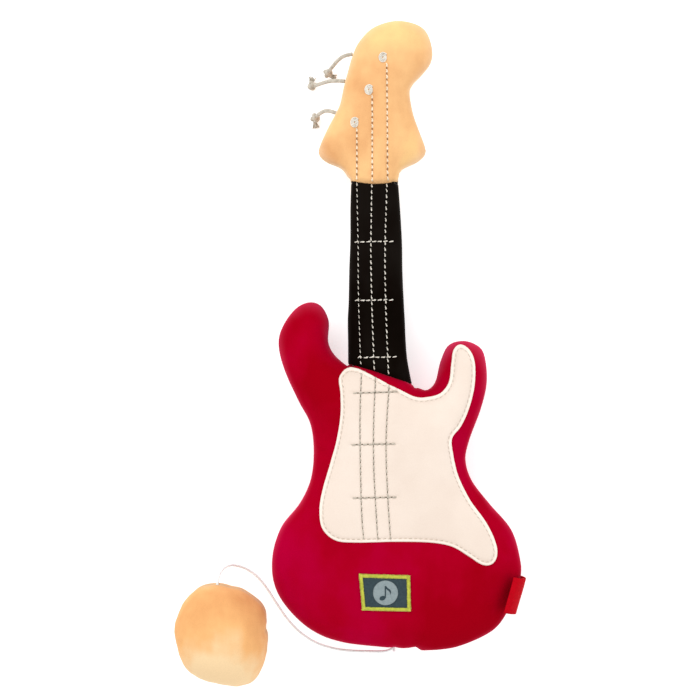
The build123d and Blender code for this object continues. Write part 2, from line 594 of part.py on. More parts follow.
SPRING_TURNS, SPRING_INNER, SPRING_OUTER, SPRING_THICK, SPRING_GAP = 6, 2.2, 8.2, 0.3, 0.4
pitch = (SPRING_OUTER - SPRING_INNER) / SPRING_TURNS / 2
with BuildPart() as mainspring:
    with BuildSketch(Plane.XY.offset(groove_high + FLANGE + SPRING_GAP)):
        with BuildLine() as coil:
            x = DRUM_AXIS[0] + SPRING_INNER
            for half_turn in range(2 * SPRING_TURNS):
                side = 1 if half_turn % 2 == 0 else -1
                radius = SPRING_INNER + pitch * (half_turn + 0.5)
                middle = x - side * radius
                RadiusArc((x, DRUM_AXIS[1]), (middle - side * radius, DRUM_AXIS[1]), -radius)
                x = middle - side * radius
        trace(coil.line, SPRING_THICK)
    extrude(amount=cup_high - groove_high - FLANGE - 2 * SPRING_GAP)
save(mainspring.part, "mainspring")

# Pinned cylinder and comb
CYLINDER_R, PIN_R, PIN_HEIGHT, TINES = 6.2, 0.25, 0.7, 12
cylinder_low, cylinder_high = CYLINDER_LEVEL
save(ring(CYLINDER_AXIS, cylinder_low, cylinder_high, CYLINDER_R, ARBOR_R), "pinned_cylinder")
tine_pitch = (cylinder_high - cylinder_low) / TINES
PINS_PER_TINE = 4
PIN_START, PIN_SPAN, TINE_STEP, PIN_STEP = 110, 310, 67, 83  # degrees
with BuildPart() as cylinder_pins:
    for tine in range(TINES):
        z = cylinder_low + (tine + 0.5) * tine_pitch
        for pin in range(PINS_PER_TINE):
            # No pin lies on the comb's side at rest, so the tines start free
            angle = PIN_START + (tine * TINE_STEP + pin * PIN_STEP) % PIN_SPAN
            inner = step_from(CYLINDER_AXIS, CYLINDER_R - 0.02, angle)
            outer = step_from(CYLINDER_AXIS, CYLINDER_R + PIN_HEIGHT, angle)
            add(rod((*inner, z), (*outer, z), PIN_R))
save(combine(cylinder_pins.part, cuts=(ring(CYLINDER_AXIS, 0, 50, CYLINDER_R),)), "cylinder_pins")

# The tines lie along Y beside the cylinder, their tips just outside the circle of the pins
TINE_REACH = CYLINDER_R + PIN_HEIGHT + 0.15
COMB_THICK, TINE_FROM, TINE_TO, TINE_HALF = 1.6, 0.5, 1.0, 0.35  # the last is a share of the pitch
COMB_SCREW_R, COMB_SCREW_HOLE, COMB_SCREW_LENGTH, COMB_SCREW_INSET = 0.68, 0.7, 2.5, 3.0
COMB_SCREW_HEAD_R, COMB_SCREW_HEAD = 1.3, 0.8
comb_x0, comb_x1 = COMB_POST_HIGH[0], COMB_POST_HIGH[0] + COMB_THICK
with BuildPart() as comb:
    root_low = (comb_x0, COMB_POST_LOW[1] - 2.2, cylinder_low)
    add(box_between(root_low, (comb_x1, CASE_HIGH[1] - CASE_WALL - 0.2, cylinder_high)))
    for tine in range(TINES):
        z = cylinder_low + (tine + 0.5) * tine_pitch
        low = (comb_x0 + TINE_FROM, CYLINDER_AXIS[1] + TINE_REACH, z - TINE_HALF * tine_pitch)
        add(box_between(low, (comb_x0 + TINE_TO, root_low[1], z + TINE_HALF * tine_pitch)))
    screw_heights = [cylinder_low + COMB_SCREW_INSET, cylinder_high - COMB_SCREW_INSET]
    screw_y = (COMB_POST_LOW[1] + COMB_POST_HIGH[1]) / 2
    screw_runs = [
        ((comb_x0 - COMB_SCREW_LENGTH, screw_y, z), (comb_x1, screw_y, z)) for z in screw_heights
    ]
    for start, end in screw_runs:
        add(rod(start, end, COMB_SCREW_HOLE), mode=Mode.SUBTRACT)
save(comb.part, "comb")
with BuildPart() as comb_screws:
    for start, end in screw_runs:
        add(rod(start, end, COMB_SCREW_R))
        add(rod(end, (end[0] + COMB_SCREW_HEAD, *end[1:]), COMB_SCREW_HEAD_R))
save(comb_screws.part, "comb_screws")
screw_holes = [rod(start, end, COMB_SCREW_HOLE) for start, end in screw_runs]
save(combine(case_bottom_half, cuts=screw_holes), "case_base")

# Air-brake fan: two blades on a hub
FAN_R, FAN_HUB_R, BLADE_THICK = 4.4, 1.3, 0.5
FAN_ABOVE, FAN_BELOW = 5.0, 0.8  # gaps to the second level and to the top level
fan_low, fan_high = SECOND_LEVEL[1] + FAN_ABOVE, TOP_LEVEL[0] - FAN_BELOW
blade_low = (FAN_AXIS[0] - FAN_R, FAN_AXIS[1] - BLADE_THICK / 2, fan_low)
blade_high = (FAN_AXIS[0] + FAN_R, FAN_AXIS[1] + BLADE_THICK / 2, fan_high)
fan_shape = combine(
    box_between(blade_low, blade_high),
    adds=(ring(FAN_AXIS, fan_low, fan_high, FAN_HUB_R),),
    cuts=(ring(FAN_AXIS, fan_low, fan_high, FINE_ARBOR_R),),
)
save(fan_shape, "governor_fan")
print("axes", {name: tuple(round(v, 3) for v in axis) for name, (axis, _) in AXES.items()})
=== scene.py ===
"""Plush toy guitar with stitched strings and a pull-cord ball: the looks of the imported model.

Outlines are in guitar millimetres, as in part.py: X across, Y along the neck, Z up from the
floor. placed() moves them into the row's frame, in metres.
"""

import math
import random

import bmesh
import bpy
import numpy as np
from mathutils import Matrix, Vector, geometry, kdtree, noise
from mathutils.bvhtree import BVHTree


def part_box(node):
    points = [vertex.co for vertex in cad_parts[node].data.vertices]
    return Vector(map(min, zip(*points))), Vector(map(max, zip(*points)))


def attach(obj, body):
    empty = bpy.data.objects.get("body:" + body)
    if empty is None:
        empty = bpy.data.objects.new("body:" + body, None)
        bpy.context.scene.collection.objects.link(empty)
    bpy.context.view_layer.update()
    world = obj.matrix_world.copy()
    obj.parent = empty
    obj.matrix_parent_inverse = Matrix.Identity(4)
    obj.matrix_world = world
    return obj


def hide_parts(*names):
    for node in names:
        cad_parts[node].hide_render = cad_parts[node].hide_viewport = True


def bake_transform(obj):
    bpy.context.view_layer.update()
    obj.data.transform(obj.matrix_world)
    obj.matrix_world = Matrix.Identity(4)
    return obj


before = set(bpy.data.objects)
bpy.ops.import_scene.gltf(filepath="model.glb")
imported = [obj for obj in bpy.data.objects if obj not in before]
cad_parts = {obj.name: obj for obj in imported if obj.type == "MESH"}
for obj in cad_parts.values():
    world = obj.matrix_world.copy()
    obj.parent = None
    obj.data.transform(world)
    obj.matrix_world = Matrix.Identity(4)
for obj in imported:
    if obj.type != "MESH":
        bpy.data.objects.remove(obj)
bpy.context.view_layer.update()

MM = 0.001
SHIFT = np.array([28.23, 8.4, 0.0])
SEAM_Z = 24.0
FULL_DEPTH = 24.0
STITCH_PITCH = 3.3
rng = random.Random(7)


# ---------------------------------------------------------------- outlines, in guitar mm
HEAD = [
    (-27.8, 87.9), (-29.3, 90.8), (-33.2, 95.8), (-41.4, 99.4), (-45.8, 103.6), (-45.2, 108.6),
    (-41, 118), (-36.8, 126), (-34, 132), (-32, 141), (-29.6, 150), (-26.9, 159.4),
    (-22.9, 167.8), (-14.8, 175.8), (-2.2, 179.6), (9.4, 177.8), (15.8, 172.8), (18.9, 163.4),
    (18.4, 156.4), (13.6, 149.6), (8.6, 144), (6.8, 138.4), (8.6, 127), (11.6, 118),
    (15, 109), (15.6, 104), (11.2, 99.6), (2.4, 95.2), (0.6, 91),
]
NECK_RIGHT = [(0.2, 87.9), (1.2, 71), (2, 54), (2.2, 37), (2.8, 20), (3.4, 8), (3.8, -3), (4.9, -15)]
RIGHT_SIDE = [
    (8, -28), (11.8, -29.4), (16.4, -30.6), (21.2, -26), (24.4, -14.4), (28.8, -5.4),
    (36.2, -2.6), (43.8, -4.4), (49, -10), (50.8, -25.6), (47.6, -41.6), (41, -60),
    (39, -71.2), (42.6, -82.8), (52.8, -96.4), (64.6, -111.2), (69.4, -128), (69.2, -140),
    (62.6, -157), (52.8, -169.4), (33, -178.2), (16, -180.3), (12, -179.9), (9.9, -178.2),
]
LEFT_SIDE = [
    (5.6, -178.8), (0.6, -179), (-2.4, -178.4), (-8, -178.4), (-33.4, -175.3), (-50.2, -168.3),
    (-64.1, -155.4), (-71.3, -141.7), (-72.2, -125.6), (-67.6, -110.2), (-57.4, -96.4),
    (-51.2, -82.6), (-49.4, -66.8), (-51.2, -50.8), (-58, -37), (-65.4, -18.8),
    (-68.2, -4), (-65.2, 6.4), (-58, 15.8), (-50, 19.4), (-43.2, 17), (-39.2, 8.6),
    (-39.6, -3), (-36, -10.6), (-28.6, -17),
]
NECK_LEFT = [(-28.3, -14.4), (-28.2, -3), (-28.5, 9), (-28.1, 20), (-28, 37), (-27.6, 54), (-27.8, 71)]
SEAM_LEFT, SEAM_RIGHT_X, SEAM_SLOPE = (-28.2, -15.7), 8.0, -0.328
SEAM_WAVE, SEAM_WAVE_REACH = 0.5, 11.5
BODY_SEAM_POINTS, HEAD_SEAM_POINTS = 18, 14
HEAD_SEAM_Y, HEAD_SEAM_DIP, NECK_MIDDLE_X, NECK_HALF_WIDTH = 88.4, 2.6, -13.8, 14.0

PICKGUARD = [
    (-25, -18.8), (-33.6, -23.2), (-33.1, -33.4), (-33.1, -45.1), (-35.2, -58.8), (-38.8, -72.5),
    (-43.2, -88.1), (-44.8, -98.9), (-43.1, -108.6), (-35.8, -114.9), (-24.1, -116.1), (-2.6, -115.6),
    (16.9, -116.1), (28.9, -118.3), (38.1, -123.6), (45.5, -128.4), (51, -128.8), (54.4, -124.9),
    (54.2, -117.6), (49.2, -106.4), (39.6, -92.8), (32.9, -79.2), (29.8, -66), (29.4, -58),
    (34.4, -51.4), (39, -41.6), (42.1, -29.8), (42.8, -17.6), (40.5, -9.4), (35.3, -5.6), (31, -8.4),
    (29.5, -15.8), (28, -26.4), (23.4, -32.8), (16, -35.2), (8.5, -34.9), (-2.6, -29.5),
]
STRINGS = {
    "left": (
        [(-23.9, 116.4), (-23.8, 87.7)],
        [(-23.8, 86.2), (-23.1, 50), (-22.9, 23.2), (-21.8, -12.4), (-21.5, -17)],
        [(-21.3, -21.4), (-22.1, -46.1), (-21.8, -75.4), (-21.1, -101.7), (-20, -114.2)],
    ),
    "middle": (
        [(-15.3, 135), (-15.2, 86.5)],
        [(-15.4, 84.9), (-15.9, 50), (-15.5, 23.2), (-14.3, -11.9), (-13.8, -19.8)],
        [(-13.4, -23.6), (-14.5, -48), (-14.5, -71.4), (-13.6, -91), (-12.2, -114.2)],
    ),
    "right": (
        [(-7.1, 153.1), (-6.5, 87.1)],
        [(-6.9, 85.6), (-8, 50), (-7.8, 23.2), (-6.5, -11.9), (-5.9, -22.2)],
        [(-5.8, -28.1), (-7.1, -46.1), (-7.6, -65.6), (-6.6, -91), (-5.1, -114.2)],
    ),
}
FRETS = [((-25, 52.3), (-3.4, 52.7)), ((-24.9, 19.4), (-3.5, 19.8)), ((-23.2, -12.7), (-1.5, -12.3))]
PICKUPS = [((-26.1, -32.8), (-1.2, -32.2)), ((-26.8, -61.4), (-2.4, -60.9)),
           ((-26.3, -91.2), (-1.9, -90.6))]
TUNER_SPOTS = [(-9.1, 156), (-17, 137.7), (-25, 119.3)]
BADGE = [(-22.7, -133.5), (5.7, -134.3), (6.2, -154.4), (-20.8, -153.8)]
BALL_CENTRE, BALL_HALF_HEIGHT, BALL_MEAN = (-101.1, -169.8, 26.9), 26.9, 27.6

PULL_ROUTE = [
    (-2.6, -178.2, 24), (-5, -180.2, 23.2), (-9.6, -181.4, 20.2), (-17.6, -182.2, 14.8),
    (-28, -183.2, 7.8), (-38.8, -182.6, 2.8), (-49.2, -179.2, 0.9), (-58.2, -172.8, 0.85),
    (-65.4, -164.6, 0.85), (-71.2, -155.8, 0.85), (-76.2, -147.8, 0.85), (-81.4, -141.2, 0.85),
    (-87, -136.8, 1.8), (-92.6, -134, 5.8), (-97.4, -132.6, 12.6), (-101, -134.2, 20),
    (-103, -138, 25.2), (-103.2, -142.4, 26.6),
]
TUNER_ROUTES = {
    "upper": [(-26.4, 160.2, 24), (-30.9, 159.8, 22.4), (-34.6, 157.8, 18.6), (-37.2, 155.6, 13.4),
              (-39.4, 153.9, 7.8), (-41, 153, 3), (-39.8, 151.8, 1.5), (-37.9, 150.9, 1.3)],
    "middle": [(-30.6, 144.7, 24), (-34.8, 145.3, 22.6), (-38.4, 145.8, 18.6), (-42, 146, 13),
               (-45.8, 145.6, 7.2), (-49.8, 145.3, 2.8), (-50.8, 146.8, 1.5), (-50, 148.6, 1.3)],
    "lower": [(-35.2, 126.4, 24), (-39, 128, 22.8), (-41.8, 128.6, 19), (-44.2, 128.5, 13.4),
              (-46.2, 127.9, 7.6), (-48.3, 127, 2.9), (-48.3, 124.8, 1.6), (-48, 122.9, 1.3)],
}
PULL_LENGTH, PULL_D, TUNER_D = 0.146, 0.0015, 0.0023


def placed(points):
    """Guitar millimetres to the row's frame, in metres."""
    points = np.asarray(points, float).reshape(-1, 3)
    return (points + SHIFT) * MM


# ---------------------------------------------------------------- camera and light
def add_camera():
    data = bpy.data.cameras.new("Camera")
    data.lens, data.sensor_width, data.clip_end = 85.0, 36.0, 20.0
    camera = bpy.data.objects.new("Camera", data)
    camera.location = (0.00053, -0.0002, 0.967)
    bpy.context.collection.objects.link(camera)
    bpy.context.scene.camera = camera


def add_area(name, location, size, power, target=(0, 0, 0.02), colour=(1, 1, 1)):
    data = bpy.data.lights.new(name, "AREA")
    data.shape, data.size, data.energy, data.color = "DISK", size, power, colour
    lamp = bpy.data.objects.new(name, data)
    lamp.location = location
    lamp.rotation_euler = (Vector(target) - Vector(location)).to_track_quat("-Z", "Y").to_euler()
    bpy.context.collection.objects.link(lamp)


def add_studio():
    world = bpy.data.worlds.new("Studio")
    world.use_nodes = True
    background = world.node_tree.nodes["Background"]
    background.inputs["Color"].default_value = (1, 1, 1, 1)
    background.inputs["Strength"].default_value = 0.82
    bpy.context.scene.world = world
    bpy.context.scene.view_settings.view_transform = "Standard"
    add_area("Key", (-0.5, 0.75, 1.15), 0.9, 9.0)
    add_area("Fill", (0.85, -0.35, 1.0), 1.1, 3.0)


# ---------------------------------------------------------------- plane geometry
def spline(points, step, closed):
    """An even run of points along a Catmull-Rom curve through the given ones."""
    p = np.array(points, float)
    if closed:
        p = np.vstack([p[-1], p, p[0], p[1]])
    else:
        p = np.vstack([2 * p[0] - p[1], p, 2 * p[-1] - p[-2]])
    t = np.linspace(0, 1, 24, endpoint=False)[:, None]
    runs = []
    for a, b, c, d in zip(p[:-3], p[1:-2], p[2:-1], p[3:]):
        runs.append(0.5 * (2 * b + (c - a) * t + (2 * a - 5 * b + 4 * c - d) * t**2
                           + (3 * b - a - 3 * c + d) * t**3))
    dense = np.vstack(runs + [p[1:2] if closed else p[-2:-1]])
    along = np.concatenate([[0], np.cumsum(np.linalg.norm(np.diff(dense, axis=0), axis=1))])
    count = max(3, round(along[-1] / step))
    marks = np.linspace(0, along[-1], count + 1)[: count if closed else None]
    return np.stack([np.interp(marks, along, dense[:, k]) for k in range(p.shape[1])], axis=1)


def inward(loop):
    """Unit normals of a closed loop, pointing into it."""
    tangent = np.roll(loop, -1, axis=0) - np.roll(loop, 1, axis=0)
    normal = np.stack([-tangent[:, 1], tangent[:, 0]], axis=1)
    normal /= np.linalg.norm(normal, axis=1)[:, None]
    x, y = loop[:, 0], loop[:, 1]
    area = np.sum(x * np.roll(y, -1) - y * np.roll(x, -1))
    return normal if area > 0 else -normal


def inside(points, loop):
    x, y = points[:, 0], points[:, 1]
    hit = np.zeros(len(points), bool)
    for (ax, ay), (bx, by) in zip(loop, np.roll(loop, -1, axis=0)):
        if ay != by:
            hit ^= ((ay > y) != (by > y)) & (x < (bx - ax) * (y - ay) / (by - ay) + ax)
    return hit


def point_tree(points):
    tree = kdtree.KDTree(len(points))
    for i, p in enumerate(points):
        tree.insert(p, i)
    tree.balance()
    return tree


class Nearest:
    """The nearest of many points in the plane."""

    def __init__(self, points):
        self.tree = point_tree([(p[0], p[1], 0) for p in points])

    def distance(self, points):
        return np.array([self.tree.find((p[0], p[1], 0))[2] for p in points])

    def index(self, point):
        return self.tree.find((point[0], point[1], 0))[1]


def hex_grid(low, high, step):
    rows = []
    for k, y in enumerate(np.arange(low[1], high[1], step * math.sqrt(3) / 2)):
        x = np.arange(low[0] + (k % 2) * step / 2, high[0], step)
        rows.append(np.stack([x, np.full_like(x, y)], axis=1))
    return np.vstack(rows)


def triangulate(outline, rows, step, extra_lines=(), free=()):
    """A sheet of triangles inside a closed outline: rows of points at the given distances from
    its edge, then an even grid. Returns the points, their distance to the edge and triangles."""
    normal = inward(outline)
    fine = Nearest(spline(outline, 0.25, True))
    points, depth = [outline], [np.zeros(len(outline))]
    for row in rows[1:]:
        ring = outline + normal * row
        keep = fine.distance(ring) > row * 0.94
        points.append(ring[keep])
        depth.append(np.full(int(keep.sum()), row))
    points, depth = np.vstack(points), np.concatenate(depth)
    edges = [(i, (i + 1) % len(outline)) for i in range(len(outline))]
    near = Nearest(points)
    for line in extra_lines:
        ends = [int(np.argmin(np.linalg.norm(outline - e, axis=1))) for e in (line[0], line[-1])]
        middle = line[1:-1]
        middle = middle[(near.distance(middle) > 0.3) & inside(middle, outline)]
        first = len(points)
        chain = [ends[0], *range(first, first + len(middle)), ends[1]]
        points = np.vstack([points, middle])
        depth = np.concatenate([depth, fine.distance(middle)])
        edges += list(zip(chain[:-1], chain[1:]))
        tangent = np.gradient(middle, axis=0)
        side = np.stack([-tangent[:, 1], tangent[:, 0]], axis=1)
        side /= np.linalg.norm(side, axis=1)[:, None]
        for offset in (-3.6, -2.2, -1.2, -0.5, 0.5, 1.2, 2.2, 3.6):
            beside = middle + side * offset
            beside = beside[(near.distance(beside) > 0.5) & inside(beside, outline)]
            points = np.vstack([points, beside])
            depth = np.concatenate([depth, fine.distance(beside)])
    for extra, gap in zip(free, (0.3, 0.45)):
        extra = extra[inside(extra, outline)]
        extra = extra[near.distance(extra) > gap]
        kept, seen = [], {}
        for p in extra:
            cell = (int(p[0] // gap), int(p[1] // gap))
            close = [seen.get((cell[0] + i, cell[1] + j)) for i in (-1, 0, 1) for j in (-1, 0, 1)]
            if all(q is None or np.hypot(*(q - p)) > gap for q in close):
                seen[cell] = p
                kept.append(p)
        points = np.vstack([points, kept])
        depth = np.concatenate([depth, fine.distance(kept)])
        near = Nearest(points)
    grid = hex_grid(outline.min(axis=0), outline.max(axis=0), step)
    grid = grid[inside(grid, outline)]
    clear = fine.distance(grid) > rows[-1] + 0.7 * step
    grid = grid[clear]
    grid = grid[Nearest(points).distance(grid) > 0.6 * step]
    points = np.vstack([points, grid])
    depth = np.concatenate([depth, fine.distance(grid)])
    made, _, faces, origin, _, _ = geometry.delaunay_2d_cdt(
        [Vector(p) for p in points], edges, [], 0, 1e-5)
    made = np.array([tuple(v) for v in made])
    out_depth = np.array([depth[o[0]] if o else 0.0 for o in origin])
    for i, o in enumerate(origin):
        if not o:
            out_depth[i] = fine.distance(made[i:i + 1])[0]
    faces = np.array([f for f in faces if len(f) == 3])
    middle = made[faces].mean(axis=1)
    faces = faces[inside(middle, outline)]
    a, b, c = made[faces[:, 0]], made[faces[:, 1]], made[faces[:, 2]]
    turn = (b[:, 0] - a[:, 0]) * (c[:, 1] - a[:, 1]) - (b[:, 1] - a[:, 1]) * (c[:, 0] - a[:, 0])
    faces = faces[np.abs(turn) > 1e-7]
    flip = turn[np.abs(turn) > 1e-7] < 0
    faces[flip] = faces[flip][:, ::-1]
    return made, out_depth, faces


# ---------------------------------------------------------------- mesh objects
def make_object(name, points, faces, material):
    mesh = bpy.data.meshes.new(name)
    mesh.from_pydata(placed(points).tolist(), [], [tuple(int(i) for i in f) for f in faces])
    mesh.polygons.foreach_set("use_smooth", [True] * len(mesh.polygons))
    mesh.update()
    if material is not None:
        mesh.materials.append(material)
    obj = bpy.data.objects.new(name, mesh)
    bpy.context.collection.objects.link(obj)
    return obj


def metre_object(name, points, faces, material):
    """A smooth mesh whose points are in the frame's metres already."""
    mesh = bpy.data.meshes.new(name)
    mesh.from_pydata([tuple(p) for p in points], [], faces)
    mesh.polygons.foreach_set("use_smooth", [True] * len(mesh.polygons))
    mesh.materials.append(material)
    obj = bpy.data.objects.new(name, mesh)
    bpy.context.collection.objects.link(obj)
    return obj


def ring_quads(rings, sides):
    """Faces between neighbouring rings of points."""
    faces = []
    for k in range(rings - 1):
        for j in range(sides):
            n = (j + 1) % sides
            faces.append((k * sides + j, k * sides + n, (k + 1) * sides + n, (k + 1) * sides + j))
    return faces


def finish_piece(obj, body, slot, *nodes):
    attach(obj, body)
    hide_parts(*nodes)
    return obj


def tree_of(points, faces):
    return BVHTree.FromPolygons([Vector(p) for p in points], [tuple(int(i) for i in f) for f in faces])


# ---------------------------------------------------------------- the stuffed form
def union_outline():
    return spline(HEAD + NECK_RIGHT + RIGHT_SIDE + LEFT_SIDE + NECK_LEFT, 2.0, True)


def body_seam_y(x):
    """The neck's seam with the body: it slopes, and waves a little."""
    from_left = x - SEAM_LEFT[0]
    return SEAM_LEFT[1] + SEAM_SLOPE * from_left + SEAM_WAVE * np.sin(from_left / SEAM_WAVE_REACH)


def head_seam_y(x):
    """The neck's seam with the headstock: it dips in the middle."""
    t = (x - NECK_MIDDLE_X) / NECK_HALF_WIDTH
    return HEAD_SEAM_Y - HEAD_SEAM_DIP * (1 - t * t)


def body_seam():
    x = np.linspace(SEAM_LEFT[0], SEAM_RIGHT_X, BODY_SEAM_POINTS)
    return np.stack([x, body_seam_y(x)], axis=1)


def head_seam():
    x = np.linspace(NECK_MIDDLE_X - NECK_HALF_WIDTH, NECK_MIDDLE_X + NECK_HALF_WIDTH, HEAD_SEAM_POINTS)
    return np.stack([x, head_seam_y(x)], axis=1)


EDGE_LENGTH, SPREAD = 3.2, 15.0


class Fullness:
    """How high the stuffing lifts the cloth above the seam: a loaded skin over the outline."""

    def __init__(self, outline):
        self.low = outline.min(axis=0) - 6
        self.fine = Nearest(spline(outline, 0.5, True))
        nx, ny = (np.ceil(outline.max(axis=0) + 6 - self.low)).astype(int)
        gx, gy = np.meshgrid(np.arange(nx), np.arange(ny), indexing="ij")
        nodes = np.stack([gx.ravel(), gy.ravel()], axis=1) + self.low
        within = inside(nodes, outline).reshape(nx, ny)
        distance = self.fine.distance(nodes).reshape(nx, ny)
        y = nodes[:, 1].reshape(nx, ny)
        head = np.clip((y - 84) / 22, 0, 1)
        load = 1 - 0.48 * head * head * (3 - 2 * head)
        u = np.zeros((nx, ny))
        source = load / SPREAD**2 * FULL_DEPTH**2
        for _ in range(900):
            total = np.zeros_like(u)
            total[1:-1, 1:-1] = u[2:, 1:-1] + u[:-2, 1:-1] + u[1:-1, 2:] + u[1:-1, :-2]
            u = np.where(within, (total + source) / (4 + 1 / SPREAD**2), 0)
        rise = 1 - np.exp(-distance / EDGE_LENGTH)
        ratio = np.where(within & (distance > 2.2), u / np.maximum(rise, 1e-6), 0)
        known = (ratio > 0).astype(float)
        value, weight = ratio.copy(), known.copy()
        for _ in range(12):
            spread_value, spread_weight = value.copy(), weight.copy()
            for axis in (0, 1):
                for way in (1, -1):
                    spread_value += np.roll(value, way, axis=axis)
                    spread_weight += np.roll(weight, way, axis=axis)
            value = np.where(known > 0, ratio, spread_value / np.maximum(spread_weight, 1e-9))
            weight = np.where(known > 0, 1.0, (spread_weight > 0).astype(float))
            value = np.where(weight > 0, value, 0)
        self.ratio = value

    def __call__(self, points, depth):
        g = np.clip(points - self.low, 0, np.array(self.ratio.shape) - 1.001)
        i = g.astype(int)
        f = g - i
        r = self.ratio
        value = (r[i[:, 0], i[:, 1]] * (1 - f[:, 0]) * (1 - f[:, 1])
                 + r[i[:, 0] + 1, i[:, 1]] * f[:, 0] * (1 - f[:, 1])
                 + r[i[:, 0], i[:, 1] + 1] * (1 - f[:, 0]) * f[:, 1]
                 + r[i[:, 0] + 1, i[:, 1] + 1] * f[:, 0] * f[:, 1])
        return np.sqrt(np.maximum(value * (1 - np.exp(-depth / EDGE_LENGTH)), 0))


def lumps(points, scale, seed):
    return np.array([noise.noise((p[0] / scale, p[1] / scale, seed)) for p in points])


# soft creases that run in from pinched places: start, end, depth, width, in mm
CREASES = [
    ((-31, -20), (-46, -30), 0.9, 2.6), ((-36, -12), (-50, -8), 0.8, 2.4),
    ((12, -31), (16, -40), 0.7, 2.2), ((-48, -66), (-38, -70), 0.7, 3.0),
    ((38.6, -70), (33, -74), 0.6, 2.6), ((-40, 4), (-52, 2), 0.6, 2.6),
    ((24, -18), (31, -20), 0.5, 2.2), ((7.4, 139), (-1, 137), 0.8, 3.2),
    ((1, 93), (-3, 99), 0.6, 2.4), ((-29, 92), (-25, 99), 0.6, 2.4),
    ((3.5, -2), (-3, 3), 0.5, 2.2), ((-28, 22), (-22, 25), 0.4, 2.0),
    ((-2, -177), (-3, -166), 1.0, 3.2), ((-56, -97), (-44, -99), 0.6, 3.4),
    ((52, -97), (44, -99), 0.5, 3.2),
]


def crease_depth(points):
    total = np.zeros(len(points))
    for a, b, depth, width in CREASES:
        a, b = np.array(a, float), np.array(b, float)
        t = np.clip(((points - a) @ (b - a)) / ((b - a) @ (b - a)), 0, 1)
        gap = np.linalg.norm(points - (a + t[:, None] * (b - a)), axis=1)
        total += depth * (1 - t) ** 0.7 * np.exp(-((gap / width) ** 2))
    return total


EDGE_ROWS = [0.0, 0.12, 0.4, 0.85, 1.5, 2.4, 3.5, 4.9]
EDGE_PULL = [0.6, 0.12, 0.0, 0.3, 0.95, 1.9, 3.2, 4.8]


def guitar_form(free=()):
    """Both skins of the guitar from one sheet: points, triangles, and which part each belongs to."""
    outline = union_outline()
    seam_a, seam_b = body_seam(), head_seam()
    flat, depth, faces = triangulate(outline, EDGE_ROWS, 2.3, (seam_a, seam_b), free)
    lift = Fullness(outline)(flat, depth)
    near_edge = np.exp(-depth / 7.0)
    lift *= 1 + 0.13 * near_edge * lumps(flat, 8.0, 3.3) + 0.035 * lumps(flat, 30.0, 9.1)
    for seam in (seam_a, seam_b):
        gap = Nearest(spline(seam, 0.25, False)).distance(flat)
        lift *= 1 - 0.16 * np.exp(-((gap / 1.5) ** 2)) - 0.05 * np.exp(-((gap / 5.0) ** 2))
    front = lift - (crease_depth(flat) + groove_depth(flat, SKIN_RUNS, 1.15)) * np.clip(lift / 4, 0, 1)
    front = np.maximum(front, 0)
    back = lift + 0.3 * near_edge * lumps(flat, 9.0, 21.0)
    bottom = SEAM_Z - back * 1.02
    rest = 1.2
    bottom = rest * np.logaddexp(0, bottom / rest) - 0.02
    # the cloth turns in at the seam, so the rows nearest it move sideways
    move = np.interp(depth, EDGE_ROWS, np.array(EDGE_PULL) - np.array(EDGE_ROWS))
    edge, normal = Nearest(outline), inward(outline)
    pull = np.zeros_like(flat)
    for i in np.flatnonzero(depth < EDGE_ROWS[-1] + 0.5):
        pull[i] = normal[edge.index(flat[i])] * move[i]
    flat = flat + pull
    middle = flat[faces].mean(axis=1)
    x, y = middle[:, 0], middle[:, 1]
    over_head = y > head_seam_y(x)
    in_neck = (x > -30.5) & (x < 9) & (y > body_seam_y(x))
    part = np.where((over_head & (y > 84)) | (y > 92), 2, np.where(in_neck, 1, 0))
    top = np.column_stack([flat, SEAM_Z + front])
    low = np.column_stack([flat, np.minimum(bottom, SEAM_Z)])
    low[depth == 0, 2] = SEAM_Z
    top[depth == 0, 2] = SEAM_Z
    return outline, top, low, faces, part


def settle(points, faces, voxel, pressure, cap, frames=20):
    """Cloth under air pressure, as stuffing makes it: how far each place of a closed skin moves."""
    obj = make_object("settling", points, faces, None)
    bpy.context.view_layer.objects.active = obj
    remesh = obj.modifiers.new("Remesh", "REMESH")
    remesh.mode, remesh.voxel_size = "VOXEL", voxel * MM
    graph = bpy.context.evaluated_depsgraph_get()
    cage = bpy.data.meshes.new_from_object(obj.evaluated_get(graph))
    obj.modifiers.clear()
    obj.data = cage
    cloth = obj.modifiers.new("Cloth", "CLOTH")
    settings = cloth.settings
    settings.quality, settings.mass = 6, 0.3
    settings.tension_stiffness = settings.compression_stiffness = 18
    settings.shear_stiffness, settings.bending_stiffness = 6, 0.6
    settings.use_pressure, settings.uniform_pressure_force = True, pressure
    settings.effector_weights.gravity = 0
    cloth.point_cache.frame_start, cloth.point_cache.frame_end = 1, frames
    start = np.empty(len(cage.vertices) * 3)
    cage.vertices.foreach_get("co", start)
    for number in range(1, frames + 1):
        bpy.context.scene.frame_set(number)
    graph = bpy.context.evaluated_depsgraph_get()
    settled = obj.evaluated_get(graph).to_mesh()
    end = np.empty(len(settled.vertices) * 3)
    settled.vertices.foreach_get("co", end)
    obj.evaluated_get(graph).to_mesh_clear()
    bpy.context.scene.frame_set(1)
    bpy.data.objects.remove(obj)
    start, end = start.reshape(-1, 3) / MM - SHIFT, end.reshape(-1, 3) / MM - SHIFT
    move = end - start
    size = np.linalg.norm(move, axis=1)
    print("settled: mean", size.mean(), "max", size.max())
    move *= np.minimum(1, cap / np.maximum(size, 1e-9))[:, None]
    return start, move


